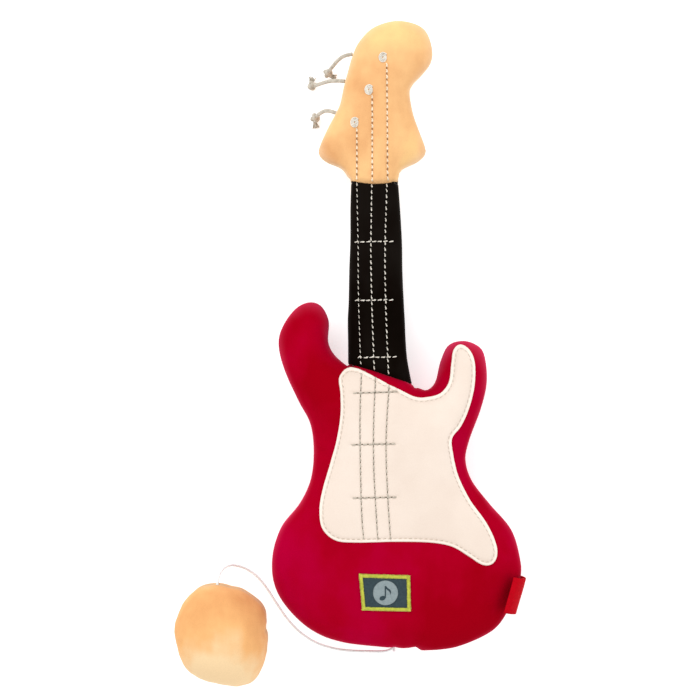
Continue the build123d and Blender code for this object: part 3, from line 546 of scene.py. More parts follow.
def carry(points, start, move, reach=10.0):
    """The cage's movement at each point, blended smoothly from the cage points near it."""
    tree = point_tree(start)
    out = np.zeros_like(points)
    for i, p in enumerate(points):
        found = tree.find_range(p, reach)
        if found:
            index = np.array([f[1] for f in found])
            weight = (1 - (np.array([f[2] for f in found]) / reach) ** 2) ** 2 + 1e-9
            out[i] = (move[index] * weight[:, None]).sum(axis=0) / weight.sum()
    return out


# ---------------------------------------------------------------- materials
class Graph:
    """Short words for building a material's nodes."""

    def __init__(self, name):
        self.material = bpy.data.materials.new(name)
        self.material.use_nodes = True
        self.tree = self.material.node_tree
        self.shader = self.tree.nodes["Principled BSDF"]
        self.place = self.tree.nodes.new("ShaderNodeTexCoord").outputs["Object"]

    def node(self, kind, **values):
        made = self.tree.nodes.new("ShaderNode" + kind)
        for key, value in values.items():
            setattr(made, key, value)
        return made

    def link(self, a, b):
        self.tree.links.new(a, b)

    def noise(self, scale, detail=2.0, roughness=0.5, stretch=None):
        made = self.node("TexNoise")
        made.inputs["Scale"].default_value = scale
        made.inputs["Detail"].default_value = detail
        made.inputs["Roughness"].default_value = roughness
        source = self.place
        if stretch:
            mapping = self.node("Mapping")
            mapping.inputs["Scale"].default_value = stretch
            self.link(source, mapping.inputs["Vector"])
            source = mapping.outputs["Vector"]
        self.link(source, made.inputs["Vector"])
        return made.outputs["Fac"]

    def ramp(self, source, *stops):
        made = self.node("ValToRGB")
        band = made.color_ramp
        while len(band.elements) < len(stops):
            band.elements.new(0.5)
        for element, (position, colour) in zip(band.elements, stops):
            element.position, element.color = position, (*colour, 1)
        self.link(source, made.inputs["Fac"])
        return made.outputs["Color"]

    def mix(self, factor, a, b, blend="MIX"):
        made = self.node("Mix", data_type="RGBA", blend_type=blend)
        for value, socket in ((factor, made.inputs[0]), (a, made.inputs[6]), (b, made.inputs[7])):
            if hasattr(value, "links"):
                self.link(value, socket)
            elif isinstance(value, tuple):
                socket.default_value = (*value, 1)
            else:
                socket.default_value = value
        return made.outputs[2]

    def math(self, operation, a, b=0.0, c=0.0):
        made = self.node("Math", operation=operation)
        for value, socket in ((a, made.inputs[0]), (b, made.inputs[1]), (c, made.inputs[2])):
            if hasattr(value, "links"):
                self.link(value, socket)
            else:
                socket.default_value = value
        return made.outputs[0]

    def bump(self, height, distance, strength=1.0, normal=None):
        made = self.node("Bump")
        made.inputs["Strength"].default_value = strength
        made.inputs["Distance"].default_value = distance
        self.link(height, made.inputs["Height"])
        if normal is not None:
            self.link(normal, made.inputs["Normal"])
        return made.outputs["Normal"]

    def fade(self, distance, reach, amount):
        """The amount where the distance is 0, fading smoothly to nothing at reach."""
        made = self.node("MapRange", interpolation_type="SMOOTHSTEP")
        self.link(distance, made.inputs["Value"])
        made.inputs["From Min"].default_value, made.inputs["From Max"].default_value = 0.0, reach
        made.inputs["To Min"].default_value, made.inputs["To Max"].default_value = amount, 0.0
        return made.outputs["Result"]

    def set(self, **values):
        for key, value in values.items():
            socket = self.shader.inputs[key.replace("_", " ")]
            if hasattr(value, "links"):
                self.link(value, socket)
            elif isinstance(value, tuple):
                socket.default_value = (*value, 1) if len(value) == 3 else value
            else:
                socket.default_value = value
        return self


def srgb(r, g, b):
    def linear(c):
        c /= 255
        return c / 12.92 if c <= 0.04045 else ((c + 0.055) / 1.055) ** 2.4
    return (linear(r), linear(g), linear(b))


def velour(name, base, brushed, dark, sheen, sheen_tint, rim, seam_z=SEAM_Z, sweep=()):
    """Short upright pile: fine grain, brushed patches where the nap lies over, a soft rim sheen.

    rim is a colour painted along the seam at height seam_z: (colour, amount, reach). It is painted
    light: a lighter sheen highlight on the red, black and orange velour, a greyer painted shade on
    the ball. sweep is where the colour is pushed lighter or darker over a wide area: (centre, reach,
    amount); this is partly nap and partly painted light and shade. Both are in guitar millimetres.
    """
    g = Graph(name)
    nap = g.noise(14.0, 4.0, 0.62)
    streak = g.noise(60.0, 3.0, 0.6, stretch=(1.0, 0.35, 1.0))
    grain = g.noise(2600.0, 2.0, 0.7)
    tuft = g.noise(900.0, 3.0, 0.65)
    blend = g.math("ADD", g.math("MULTIPLY", nap, 0.75), g.math("MULTIPLY", streak, 0.25))
    # painted light and shade, partly nap: wide patches lighter or darker by their distance from a centre
    for centre, reach, amount in sweep:
        gap = g.node("VectorMath", operation="DISTANCE")
        g.link(g.place, gap.inputs[0])
        gap.inputs[1].default_value = placed(centre)[0]
        blend = g.math("ADD", blend, g.fade(gap.outputs["Value"], reach * MM, amount))
    spread = g.ramp(blend, (0.36, dark), (0.5, base), (0.66, brushed))
    height = g.node("SeparateXYZ")
    g.link(g.place, height.inputs[0])
    from_seam = g.math("ABSOLUTE", g.math("SUBTRACT", height.outputs["Z"], seam_z * MM))
    # painted light along the seam, in streaks: a lighter sheen highlight, or a greyer shade on the ball
    edge_paint_colour, edge_paint_amount, edge_paint_reach = rim
    painted_edge_shading = g.fade(from_seam, edge_paint_reach * MM, edge_paint_amount)
    patchy_edge_shading = g.math("MULTIPLY", painted_edge_shading, g.math("MULTIPLY", streak, 2.0))
    spread = g.mix(patchy_edge_shading, spread, edge_paint_colour)
    fine = g.ramp(grain, (0.3, (0.80, 0.80, 0.80)), (0.62, (1, 1, 1)))
    colour = g.mix(0.55, spread, g.mix(1.0, spread, fine, "MULTIPLY"))
    surface = g.math("ADD", g.math("MULTIPLY", grain, 0.45), g.math("MULTIPLY", tuft, 0.55))
    normal = g.bump(surface, 0.00018, 0.75, g.bump(nap, 0.0012, 0.35))
    g.set(Base_Color=colour, Roughness=0.92, Normal=normal, Sheen_Weight=sheen,
          Sheen_Roughness=0.3, Sheen_Tint=sheen_tint, Specular_IOR_Level=0.0)
    return g.material


def cloth(name, base, shade):
    g = Graph(name)
    fluff = g.noise(1900.0, 3.0, 0.7)
    soft = g.noise(30.0, 3.0, 0.55)
    colour = g.mix(0.4, g.ramp(soft, (0.35, shade), (0.65, base)),
                   g.ramp(fluff, (0.3, shade), (0.6, base)))
    normal = g.bump(fluff, 0.00012, 0.6, g.bump(soft, 0.0006, 0.3))
    g.set(Base_Color=colour, Roughness=0.94, Normal=normal, Sheen_Weight=0.15, Sheen_Roughness=0.5,
          Specular_IOR_Level=0.15)
    return g.material


def thread(name, base, shade, glow=0.0):
    """Twisted yarn: fine streaks of fibre and darker hollows between the plies. glow is a faint
    light of its own, which lifts the white cord to its brightness in the photograph."""
    g = Graph(name)
    fibre = g.noise(3800.0, 2.0, 0.6)
    tone = g.noise(420.0, 2.0, 0.5)
    colour = g.mix(0.5, g.ramp(fibre, (0.32, shade), (0.6, base)), g.ramp(tone, (0.35, shade), (0.6, base)))
    g.set(Base_Color=colour, Roughness=0.7, Normal=g.bump(fibre, 0.00006, 0.7),
          Sheen_Weight=0.2, Sheen_Roughness=0.4, Emission_Color=(1.0, 1.0, 1.0),
          Emission_Strength=glow)
    return g.material


def woven(name, warp, weft, pitch=0.0006, sheen=0.12):
    """Fine ribbon weave from crossed waves, so it needs no UV map."""
    g = Graph(name)
    split = g.node("SeparateXYZ")
    g.link(g.place, split.inputs[0])
    ways = []
    for axis in ("X", "Y"):
        ways.append(g.math("SINE", g.math("MULTIPLY", split.outputs[axis], 2 * math.pi / pitch)))
    weave = g.math("MULTIPLY_ADD", g.math("MULTIPLY", ways[0], ways[1]), 0.5, 0.5)
    worn = g.noise(700.0, 2.0, 0.5)
    colour = g.mix(0.3, g.ramp(weave, (0.3, weft), (0.7, warp)), g.ramp(worn, (0.35, weft), (0.6, warp)))
    g.set(Base_Color=colour, Roughness=0.75, Normal=g.bump(weave, 0.00008, 0.5),
          Sheen_Weight=sheen, Specular_IOR_Level=0.04)
    return g.material


def plastic(name, base, shade, roughness=0.42):
    g = Graph(name)
    mottle = g.noise(180.0, 3.0, 0.5)
    texture = g.noise(5200.0, 2.0, 0.6)
    rough = g.math("MULTIPLY_ADD", mottle, 0.16, roughness - 0.08)
    g.set(Base_Color=g.ramp(mottle, (0.35, shade), (0.65, base)), Roughness=rough,
          Normal=g.bump(texture, 0.00003, 0.4), Specular_IOR_Level=0.45)
    return g.material


def metal(name, base, shade, roughness=0.28):
    g = Graph(name)
    brushed = g.noise(900.0, 3.0, 0.6, stretch=(1.0, 14.0, 14.0))
    stain = g.noise(120.0, 3.0, 0.5)
    rough = g.math("MULTIPLY_ADD", brushed, 0.2, roughness - 0.1)
    g.set(Base_Color=g.ramp(stain, (0.35, shade), (0.65, base)), Metallic=1.0, Roughness=rough,
          Normal=g.bump(brushed, 0.00002, 0.4))
    return g.material


def fibre_fill(name):
    g = Graph(name)
    strands = g.noise(420.0, 6.0, 0.75)
    clump = g.noise(60.0, 3.0, 0.6)
    g.set(Base_Color=g.ramp(strands, (0.3, (0.70, 0.70, 0.68)), (0.6, (0.9, 0.9, 0.88))), Roughness=1.0,
          Normal=g.bump(strands, 0.0006, 0.8, g.bump(clump, 0.002, 0.5)), Sheen_Weight=0.3)
    return g.material


# wide patches of colour pushed lighter or darker: (centre, reach, amount). The head's are painted light,
# lighter at the top and darker along the lower edges; the ball's and the body's are partly nap and partly
# painted light and shade, the ball lifted on the side away from the key light, the body lighter on the left
# and darker on the right.
HEAD_PAINTED_SHADING = [((-2, 180, 36), 36, 0.15), ((-44, 100, 26), 20, -0.20), ((16, 100, 26), 16, -0.16),
            ((20, 152, 28), 20, -0.06), ((-14, 84, 38), 16, -0.08), ((-20, 104, 36), 28, -0.15)]
BALL_NAP_AND_SHADE = [((-100, -204, 44), 54, 0.26), ((-76, -172, 26), 24, 0.08),
            ((-84, -194, 14), 12, -0.10), ((-112, -156, 50), 16, -0.04)]
BODY_NAP_AND_SHADE = [((-64, -130, 34), 44, 0.26), ((-16, -150, 46), 40, 0.10), ((34, -160, 46), 54, -0.26),
            ((-46, -70, 40), 26, 0.06), ((50, -100, 36), 30, -0.14), ((-58, 0, 36), 30, 0.05),
            ((-44, -24, 40), 24, -0.16)]


def build_materials():
    head = dict(base=srgb(241, 189, 131), brushed=srgb(246, 211, 143), dark=srgb(222, 164, 110),
                sheen=0.24, sheen_tint=(1.0, 0.88, 0.76))
    ball = dict(base=srgb(242, 184, 122), brushed=srgb(246, 214, 168), dark=srgb(226, 162, 104),
                sheen=0.24, sheen_tint=(1.0, 0.90, 0.80))
    return {
        # the rim colours are painted: sheen highlights on the red, black and orange velour, a greyer shade
        # on the ball
        "red_velour": velour("red velour", srgb(168, 0, 32), srgb(176, 0, 50), srgb(156, 0, 20), 0.30,
                             (1.0, 0.26, 0.42), (srgb(216, 66, 102), 0.85, 10.5), sweep=BODY_NAP_AND_SHADE),
        "black_velour": velour("black velour", srgb(15, 10, 7), srgb(24, 20, 17), srgb(10, 6, 4), 0.08,
                               (0.95, 0.92, 0.88), (srgb(66, 62, 60), 0.7, 9.0)),
        "orange_velour": velour("orange velour", **head, rim=(srgb(250, 220, 184), 0.8, 8.0),
                                sweep=HEAD_PAINTED_SHADING),
        "ball_velour": velour("ball velour", **ball, rim=(srgb(208, 178, 140), 0.7, 8.0),
                              seam_z=BALL_CENTRE[2], sweep=BALL_NAP_AND_SHADE),
        "cream_cloth": cloth("cream plush", srgb(236, 221, 208), srgb(226, 209, 195)),
        # a lighter copy of the cream cloth for the rolled edge of the guard: painted highlight
        "cream_highlight": cloth("cream plush highlight", srgb(247, 236, 225), srgb(240, 226, 213)),
        "stuffing": fibre_fill("fibre filling"),
        "white_thread": thread("white thread", srgb(238, 232, 220), srgb(192, 184, 170)),
        "head_thread": thread("cream thread", srgb(246, 232, 208), srgb(226, 204, 172)),
        # a darker copy of the white thread for stitches on the guard: painted shade in its grooves
        "pick_thread": thread("pale grey thread in painted shade", srgb(206, 198, 184), srgb(158, 150, 136)),
        # these two are dark copies of the thread for the gaps between stitches: painted shadow in the
        # needle holes
        "hole_thread": thread("shaded thread", srgb(128, 116, 98), srgb(92, 82, 68)),
        "brown_thread": thread("shaded cream thread", srgb(158, 112, 76), srgb(118, 80, 52)),
        "grey_thread": thread("topstitch thread", srgb(212, 199, 184), srgb(186, 173, 158)),
        "slate_cloth": woven("slate badge", srgb(62, 78, 84), srgb(44, 56, 62)),
        "lime_thread": thread("lime satin stitch", srgb(204, 206, 70), srgb(160, 168, 44)),
        "silver_thread": woven("silver emblem", srgb(152, 164, 166), srgb(120, 134, 138)),
        "red_ribbon": woven("red ribbon", srgb(200, 0, 26), srgb(164, 0, 14), 0.0005, 0.0),
        "tuner_cord": thread("beige cord", srgb(206, 198, 184), srgb(158, 148, 132)),
        "white_cord": thread("white cord", srgb(242, 250, 250), srgb(222, 229, 229), glow=0.03),
        "case_plastic": plastic("white case plastic", (0.80, 0.80, 0.77), (0.72, 0.72, 0.69)),
        "gear_plastic": plastic("acetal gears", (0.83, 0.81, 0.74), (0.76, 0.74, 0.66), 0.34),
        "steel": metal("bright steel", (0.62, 0.63, 0.64), (0.48, 0.49, 0.50)),
        "brass": metal("brass", (0.78, 0.58, 0.25), (0.62, 0.45, 0.18), 0.22),
    }


# ---------------------------------------------------------------- stitches
class Skin:
    """The uppermost of several surfaces, found from straight above."""

    def __init__(self, *trees):
        self.trees = trees

    def drop(self, x, y):
        best = None
        for tree in self.trees:
            hit, normal, _, _ = tree.ray_cast(Vector((x, y, 200.0)), Vector((0, 0, -1)))
            if hit is not None and (best is None or hit.z > best[0].z):
                best = (hit, normal if normal.z > 0 else -normal)
        return best


class Pile:
    """Many small meshes gathered into one."""

    def __init__(self):
        self.points, self.faces = [], []

    def add(self, points, faces):
        base = len(self.points)
        self.points.extend(points)
        self.faces.extend(tuple(i + base for i in f) for f in faces)

    def tube(self, path, radii, sides):
        """A closed tube along a path."""
        path = [Vector(p) for p in path]
        count = len(path)
        points, side = [], None
        for k, p in enumerate(path):
            ahead = (path[min(k + 1, count - 1)] - path[max(k - 1, 0)]).normalized()
            if side is None:
                reference = Vector((0, 0, 1))
                if abs(ahead.dot(reference)) > 0.95:
                    reference = Vector((1, 0, 0))
                side = ahead.cross(reference).normalized()
            side = (side - ahead * side.dot(ahead)).normalized()
            over = side.cross(ahead).normalized()
            for s in range(sides):
                angle = 2 * math.pi * s / sides
                points.append(tuple(p + radii[k] * (side * math.cos(angle) + over * math.sin(angle))))
        faces = ring_quads(count, sides)
        points += [tuple(path[0]), tuple(path[-1])]
        for s in range(sides):
            t = (s + 1) % sides
            faces.append((t, s, count * sides))
            faces.append(((count - 1) * sides + s, (count - 1) * sides + t, count * sides + 1))
        self.add(points, faces)


def stitch(pile, skin, a, b, radius, proud, sunk=0.35, lean=0.0):
    """One stitch between two holes: two plies of thread that arch over the cloth."""
    a, b = Vector((*a, 0)), Vector((*b, 0))
    along = (b - a).normalized()
    across = Vector((-along.y, along.x, 0))
    steps = 7
    centre = []
    for k in range(steps):
        t = k / (steps - 1)
        spot = a.lerp(b, t) + across * lean * math.sin(math.pi * (2 * t - 1) * 0.5)
        found = skin.drop(spot.x, spot.y)
        if found is None:
            return
        hit, normal = found
        lift = -sunk + (proud + sunk) * math.sin(math.pi * t) ** 0.55
        centre.append(hit + normal * lift)
    for ply in (0, 1):
        path, radii = [], []
        for k, c in enumerate(centre):
            t = k / (steps - 1)
            angle = math.pi * (1.3 * t + ply)
            ahead = (centre[min(k + 1, steps - 1)] - centre[max(k - 1, 0)]).normalized()
            side = ahead.cross(Vector((0, 0, 1))).normalized()
            over = side.cross(ahead)
            path.append(c + (side * math.cos(angle) + over * math.sin(angle) * 0.6) * radius * 0.5)
            radii.append(radius * 0.62 * (0.45 + 0.55 * math.sin(math.pi * min(0.97, max(0.03, t))) ** 0.4))
        pile.tube(path, radii, 6)


# ---------------------------------------------------------------- cords
def route_line(name, route_mm):
    """The smooth centreline that a cord follows, and the points read from it."""
    data = bpy.data.curves.new(name, "CURVE")
    data.dimensions = "3D"
    run = data.splines.new("NURBS")
    run.points.add(len(route_mm) - 1)
    for point, place in zip(run.points, placed(route_mm)):
        point.co = (*place, 1.0)
    run.order_u, run.use_endpoint_u, run.resolution_u = 3, True, 12
    holder = bpy.data.objects.new(name, data)
    bpy.context.collection.objects.link(holder)
    bpy.context.view_layer.update()
    mesh = bpy.data.meshes.new_from_object(holder)
    points = [v.co.copy() for v in mesh.vertices]
    bpy.data.objects.remove(holder)
    return points


def even_points(points, step):
    p = np.array([tuple(v) for v in points])
    along = np.concatenate([[0], np.cumsum(np.linalg.norm(np.diff(p, axis=0), axis=1))])
    marks = np.linspace(0, along[-1], max(8, round(along[-1] / step)) + 1)
    return np.stack([np.interp(marks, along, p[:, k]) for k in range(3)], axis=1), along[-1]


def frames_along(points):
    """Each point's direction and a side vector carried along without twisting."""
    out, side = [], None
    count = len(points)
    for k in range(count):
        ahead = Vector(points[min(k + 1, count - 1)]) - Vector(points[max(k - 1, 0)])
        ahead.normalize()
        if side is None:
            side = ahead.cross(Vector((0, 0, 1)))
            if side.length < 0.1:
                side = ahead.cross(Vector((1, 0, 0)))
        side = (side - ahead * side.dot(ahead)).normalized()
        out.append((ahead, side, side.cross(ahead).normalized()))
    return out


def corded(name, points, diameter, material, strands, lay_length, sides=28):
    """A round cord whose surface is laid or braided: strands make the ridges."""
    path, length = even_points(points, lay_length / 10)
    radius = diameter / 2
    verts = []
    for k, ((_, side, over), p) in enumerate(zip(frames_along(path), path)):
        s = k / (len(path) - 1) * length
        for j in range(sides):
            angle = 2 * math.pi * j / sides
            twist = 2 * math.pi * s / lay_length
            ridge = abs(math.cos(strands * 0.5 * (angle + twist)))
            r = radius * (0.86 + 0.14 * ridge)
            verts.append(Vector(p) + side * (math.cos(angle) * r) + over * (math.sin(angle) * r))
    rings = len(path)
    faces = ring_quads(rings, sides)
    faces.append(tuple(reversed(range(sides))))
    faces.append(tuple(range((rings - 1) * sides, rings * sides)))
    return metre_object(name, verts, faces, material), [tuple(p) for p in path], length


# ---------------------------------------------------------------- build: stage
random.seed(7)
add_camera()
add_studio()
MATERIALS = build_materials()


def knot_piece(name, centre, ahead, size, diameter, material, seed, end, end_ahead):
    """A pulled-tight overhand knot, and the frayed tip of the cord past it."""
    local = random.Random(seed)
    ahead = Vector(ahead).normalized()
    side = ahead.cross(Vector((0, 0, 1)))
    side = (side if side.length > 0.1 else Vector((1, 0, 0))).normalized()
    over = side.cross(ahead).normalized()
    centre = Vector(centre)
    pile = Pile()
    radius = diameter * 0.5
    swing = size * 0.5 - radius * 0.9
    path = []
    for k in range(65):
        t = 2 * math.pi * k / 64
        x = (math.sin(t) + 2 * math.sin(2 * t)) / 3
        y = (math.cos(t) - 2 * math.cos(2 * t)) / 3
        z = -math.sin(3 * t)
        path.append(centre + ahead * x * swing * 1.1 + side * y * swing * 1.1 + over * z * swing * 0.75)
    ring = []
    sides = 12
    frames = frames_along(path)
    for k, p in enumerate(path[:-1]):
        _, u, v = frames[k]
        for j in range(sides):
            angle = 2 * math.pi * j / sides
            r = radius * (0.88 + 0.12 * abs(math.cos(1.5 * (angle + k * 0.55))))
            ring.append(tuple(p + u * math.cos(angle) * r + v * math.sin(angle) * r))
    count = len(path) - 1
    faces = []
    for k in range(count):
        m = (k + 1) % count
        # the carried frame comes back turned, so the last ring is matched by its nearest corner
        shift = 0
        if m == 0:
            first = Vector(ring[0])
            last = [Vector(ring[(count - 1) * sides + j]) for j in range(sides)]
            shift = min(range(sides), key=lambda j: (last[j] - first).length)
        for j in range(sides):
            n = (j + 1) % sides
            a, b = k * sides + (j + shift) % sides, k * sides + (n + shift) % sides
            faces.append((a, b, m * sides + n, m * sides + j))
    pile.add(ring, faces)
    end, end_ahead = Vector(end), Vector(end_ahead).normalized()
    side = end_ahead.cross(Vector((0, 0, 1))).normalized()
    over = side.cross(end_ahead).normalized()
    strands = 34
    for k in range(strands):
        angle = 2 * math.pi * k / strands + local.uniform(-0.2, 0.2)
        away = (side * math.cos(angle) + over * math.sin(angle)) * radius * local.uniform(0.2, 0.95)
        fibre = [end - end_ahead * 0.0008 + away * 0.9, end + end_ahead * 0.0006 + away * 1.35,
                 end + end_ahead * local.uniform(0.0013, 0.0022) + away * 1.9]
        for p in fibre:
            p.z = max(p.z, 0.0003)
        pile.tube(fibre, [radius * 0.2, radius * 0.2, radius * 0.14], 5)
    obj = metre_object(name, pile.points, pile.faces, material)
    for v in obj.data.vertices:
        v.co.z = max(v.co.z, 0.0001)
    return obj


# the knot sits at this point of its cord's route
KNOT_INDEX, KNOT_SIZE, KNOT_CORD, KNOT_SEED = 5, 0.0053, TUNER_D * 1.2, 11
for level, route in TUNER_ROUTES.items():
    line = route_line(f"tuner_{level}", route)
    rope, path, length = corded(f"cord_tuner_{level}", line, TUNER_D, MATERIALS["tuner_cord"], 3, 0.0034)
    knot_at = placed(route[KNOT_INDEX])[0]
    near = min(range(len(path)), key=lambda k: (Vector(path[k]) - Vector(knot_at)).length)
    ahead = Vector(path[min(near + 3, len(path) - 1)]) - Vector(path[max(near - 3, 0)])
    centre = Vector(path[near])
    centre.z = max(centre.z, 0.0025)
    knot = knot_piece(f"knot_tuner_{level}", centre, ahead, KNOT_SIZE, KNOT_CORD,
                      MATERIALS["tuner_cord"], KNOT_SEED, path[-1], Vector(path[-1]) - Vector(path[-4]))
    finish_piece(rope, "root", "tuner_cord", f"tuner_cord_{level}")
    finish_piece(knot, "root", "tuner_cord", f"tuner_knot_{level}")

line = route_line("pull", PULL_ROUTE)
pull, path, length = corded("cord_pull", line, PULL_D, MATERIALS["white_cord"], 8, 0.0042, 24)
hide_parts("pull_cord")
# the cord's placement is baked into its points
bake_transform(pull)


# ---------------------------------------------------------------- build: stitch plans
def plan(line, pitch, length, wobble=0.1):
    """Where each stitch of a run goes down and comes up."""
    path = spline(line, 0.25, False) if len(line) > 2 else np.linspace(line[0], line[1], 200)
    along = np.concatenate([[0], np.cumsum(np.linalg.norm(np.diff(path, axis=0), axis=1))])
    count = max(2, round((along[-1] + pitch - length) / pitch))
    gap = (along[-1] - length) / (count - 1)
    made = []
    for k in range(count):
        start = gap * k + rng.uniform(-wobble, wobble)
        marks = [start, start + length * rng.uniform(0.94, 1.05)]
        made.append([np.array([np.interp(m, along, path[:, 0]), np.interp(m, along, path[:, 1])])
                     for m in marks])
    return made


STITCH = 2.35
ROW_PITCH, ROW_STITCH = 3.1, 2.3
plans = {}
for side, (head_line, neck_line, body_line) in STRINGS.items():
    plans[f"head_{side}"] = plan(head_line, STITCH_PITCH, STITCH)
    plans[f"neck_{side}"] = plan(neck_line, STITCH_PITCH, STITCH)
    plans[f"body_{side}"] = plan(body_line, STITCH_PITCH, STITCH)
for number, line in enumerate(FRETS):
    plans[f"fret_{number}"] = plan(line, ROW_PITCH, ROW_STITCH)
for number, line in enumerate(PICKUPS):
    plans[f"pickup_{number}"] = plan(line, ROW_PITCH, ROW_STITCH)


def groove_points(names):
    """Points along the stitch runs: each hole, each stitch's middle, and rows beside them."""
    on, beside = [], []
    for name in names:
        for a, b in plans[name]:
            way = (b - a) / np.linalg.norm(b - a)
            across = np.array([-way[1], way[0]])
            on += [a, (a + b) / 2, b]
            for offset in (0.6, 1.25, 2.1):
                for place in (a, (a + b) / 2, b):
                    beside += [place + across * offset, place - across * offset]
    return np.array(on), np.array(beside)


def groove_depth(points, names, deep, shallow=0.35):
    """How far the stitches draw the cloth in: most at the holes, less under each stitch."""
    holes = [p for name in names for pair in plans[name] for p in pair]
    middles = [(pair[0] + pair[1]) / 2 for name in names for pair in plans[name]]
    near_hole = Nearest(holes).distance(points)
    near_middle = Nearest(middles).distance(points)
    at_hole = np.exp(-((near_hole / 0.8) ** 2))
    under_stitch = shallow * np.exp(-((near_middle / 1.15) ** 2))
    return deep * np.maximum(at_hole, under_stitch)


# ---------------------------------------------------------------- build: stuffed guitar
SKIN_RUNS = [name for name in plans if name.startswith(("head", "neck", "fret"))]
GUARD_RUNS = [name for name in plans if name.startswith(("body", "pickup"))]
outline, top, low, faces, part = guitar_form(groove_points(SKIN_RUNS))
skin_points = np.vstack([top, low])
skin_faces = np.vstack([faces, faces[:, ::-1] + len(top)])
start, move = settle(skin_points, skin_faces, voxel=5.0, pressure=4.0, cap=3.0)
skin_points = skin_points + carry(skin_points, start, move * np.array([0.35, 0.35, 0.8]))
skin_points[:, 2] = np.maximum(skin_points[:, 2], 0.02)
top, low = skin_points[: len(top)], skin_points[len(top):]

PARTS = [("body", "red_velour"), ("neck", "black_velour"), ("headstock", "orange_velour")]
CLOTH_THICK = 0.9


def used_only(points, faces):
    used = np.unique(faces)
    index = np.full(len(points), -1)
    index[used] = np.arange(len(used))
    return points[used], index[faces]


def add_thickness(obj, thick):
    solid = obj.modifiers.new("Cloth thickness", "SOLIDIFY")
    solid.thickness, solid.offset = thick * MM, -1.0
    solid.use_quality_normals = True


def rim_edges(faces):
    """Edges used by one triangle only, in the triangle's own direction."""
    pairs = np.vstack([faces[:, [0, 1]], faces[:, [1, 2]], faces[:, [2, 0]]])
    keys = {}
    for a, b in pairs:
        key = (min(a, b), max(a, b))
        keys[key] = None if key in keys else (a, b)
    return [e for e in keys.values() if e is not None]


def shrunk(points, faces, by):
    obj = make_object("shrink", points, faces, None)
    normals = np.array([tuple(v.normal) for v in obj.data.vertices])
    bpy.data.objects.remove(obj)
    return points - normals * by


case_low = np.min([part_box(n)[0] for n in ("case_base", "case_cover")], axis=0) / MM - SHIFT
case_high = np.max([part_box(n)[1] for n in ("case_base", "case_cover")], axis=0) / MM - SHIFT


def add_fill(label, points, faces, body, node, hollow=None):
    """Fibre filling: the inside of a closed skin, drawn in from the cloth, with room for the case."""
    points = shrunk(points, faces, 1.5)
    points[:, 2] = np.maximum(points[:, 2], 1.2)
    rough = np.array([noise.noise_vector(tuple(p / 4.0)) for p in points]) * 0.35
    points = points + rough
    obj = make_object(label, points, faces, MATERIALS["stuffing"])
    weld = bmesh.new()
    weld.from_mesh(obj.data)
    bmesh.ops.remove_doubles(weld, verts=weld.verts, dist=0.00002)
    if hollow is not None:
        low_corner, high_corner = hollow
        size, middle = (high_corner - low_corner + 1.0) * MM, placed((low_corner + high_corner) / 2)[0]
        box = bmesh.ops.create_cube(weld, size=1.0)["verts"]
        for v in box:
            v.co = Vector([v.co[k] * size[k] + middle[k] for k in range(3)])
        edges = list({e for v in box for e in v.link_edges})
        rounded = bmesh.ops.bevel(weld, geom=edges, offset=0.002, segments=3, affect="EDGES", profile=0.5)
        shell = {f for v in rounded["verts"] for f in v.link_faces}
        bmesh.ops.reverse_faces(weld, faces=list(shell))
    weld.to_mesh(obj.data)
    weld.free()
    thin = obj.modifiers.new("Fewer faces", "DECIMATE")
    thin.ratio = 0.35
    finish_piece(obj, body, "stuffing", node)


for number, (label, slot_name) in enumerate(PARTS):
    mine = faces[part == number]
    for skin, order, where in ((top, 1, "front"), (low, -1, "back")):
        points, triangles = used_only(skin, mine[:, ::order])
        piece = make_object(f"{label}_{where}", points, triangles, MATERIALS[slot_name])
        add_thickness(piece, CLOTH_THICK)
        finish_piece(piece, "root", slot_name, f"{label}_{where}_panel")
    rim = rim_edges(mine)
    offset = len(top)
    walls = [t for a, b in rim for t in ((b, a, a + offset), (b, a + offset, b + offset))]
    closed = np.vstack([mine, mine[:, ::-1] + offset, np.array(walls)])
    points, triangles = used_only(skin_points, closed)
    add_fill(f"{label}_fill", points, triangles, "root", f"{label}_stuffing",
             (case_low, case_high) if label == "body" else None)

base_tree = tree_of(top, faces)
base_skin = Skin(base_tree)


# ---------------------------------------------------------------- build: pickguard
GUARD_ROWS = [0.0, 0.22, 0.5, 0.9, 1.4, 1.8, 2.2, 2.7, 3.4, 4.4]
GUARD_RISE = [0.0, 0.62, 0.95, 1.12, 0.95, 0.62, 0.62, 0.95, 1.18, 1.25]


def sheet_on(skin, flat, depth, faces, rows, rise, extra=None, sink=0.15):
    """A closed sheet of cloth lying on a surface, thinned to nothing at its edge."""
    lift = np.interp(depth, rows, rise)
    if extra is not None:
        lift = lift + extra
    upper, lower = np.zeros((len(flat), 3)), np.zeros((len(flat), 3))
    for i, (x, y) in enumerate(flat):
        hit, normal = skin.drop(x, y)
        upper[i] = hit + normal * lift[i]
        lower[i] = hit - normal * sink
    edge = depth < 1e-6
    upper[edge] = lower[edge] = (upper[edge] + lower[edge]) / 2
    points = np.vstack([upper, lower])
    shared = np.arange(len(points))
    shared[len(flat):][edge] = np.arange(len(flat))[edge]
    triangles = np.vstack([faces, shared[faces[:, ::-1] + len(flat)]])
    points, triangles = used_only(points, triangles)
    return points, triangles, upper


GUARD_RIM = 1.6  # the rolled edge outside the topstitch
guard_outline = spline(PICKGUARD, 1.5, True)
flat, depth, guard_faces = triangulate(guard_outline, GUARD_ROWS, 2.2, (), groove_points(GUARD_RUNS))
puff = 0.12 * lumps(flat, 12.0, 4.0) * np.clip(depth / 5, 0, 1) - groove_depth(flat, GUARD_RUNS, 0.6)
points, triangles, guard_top = sheet_on(base_skin, flat, depth, guard_faces, GUARD_ROWS, GUARD_RISE, puff)
guard = make_object("pickguard_cloth", points, triangles, MATERIALS["cream_cloth"])
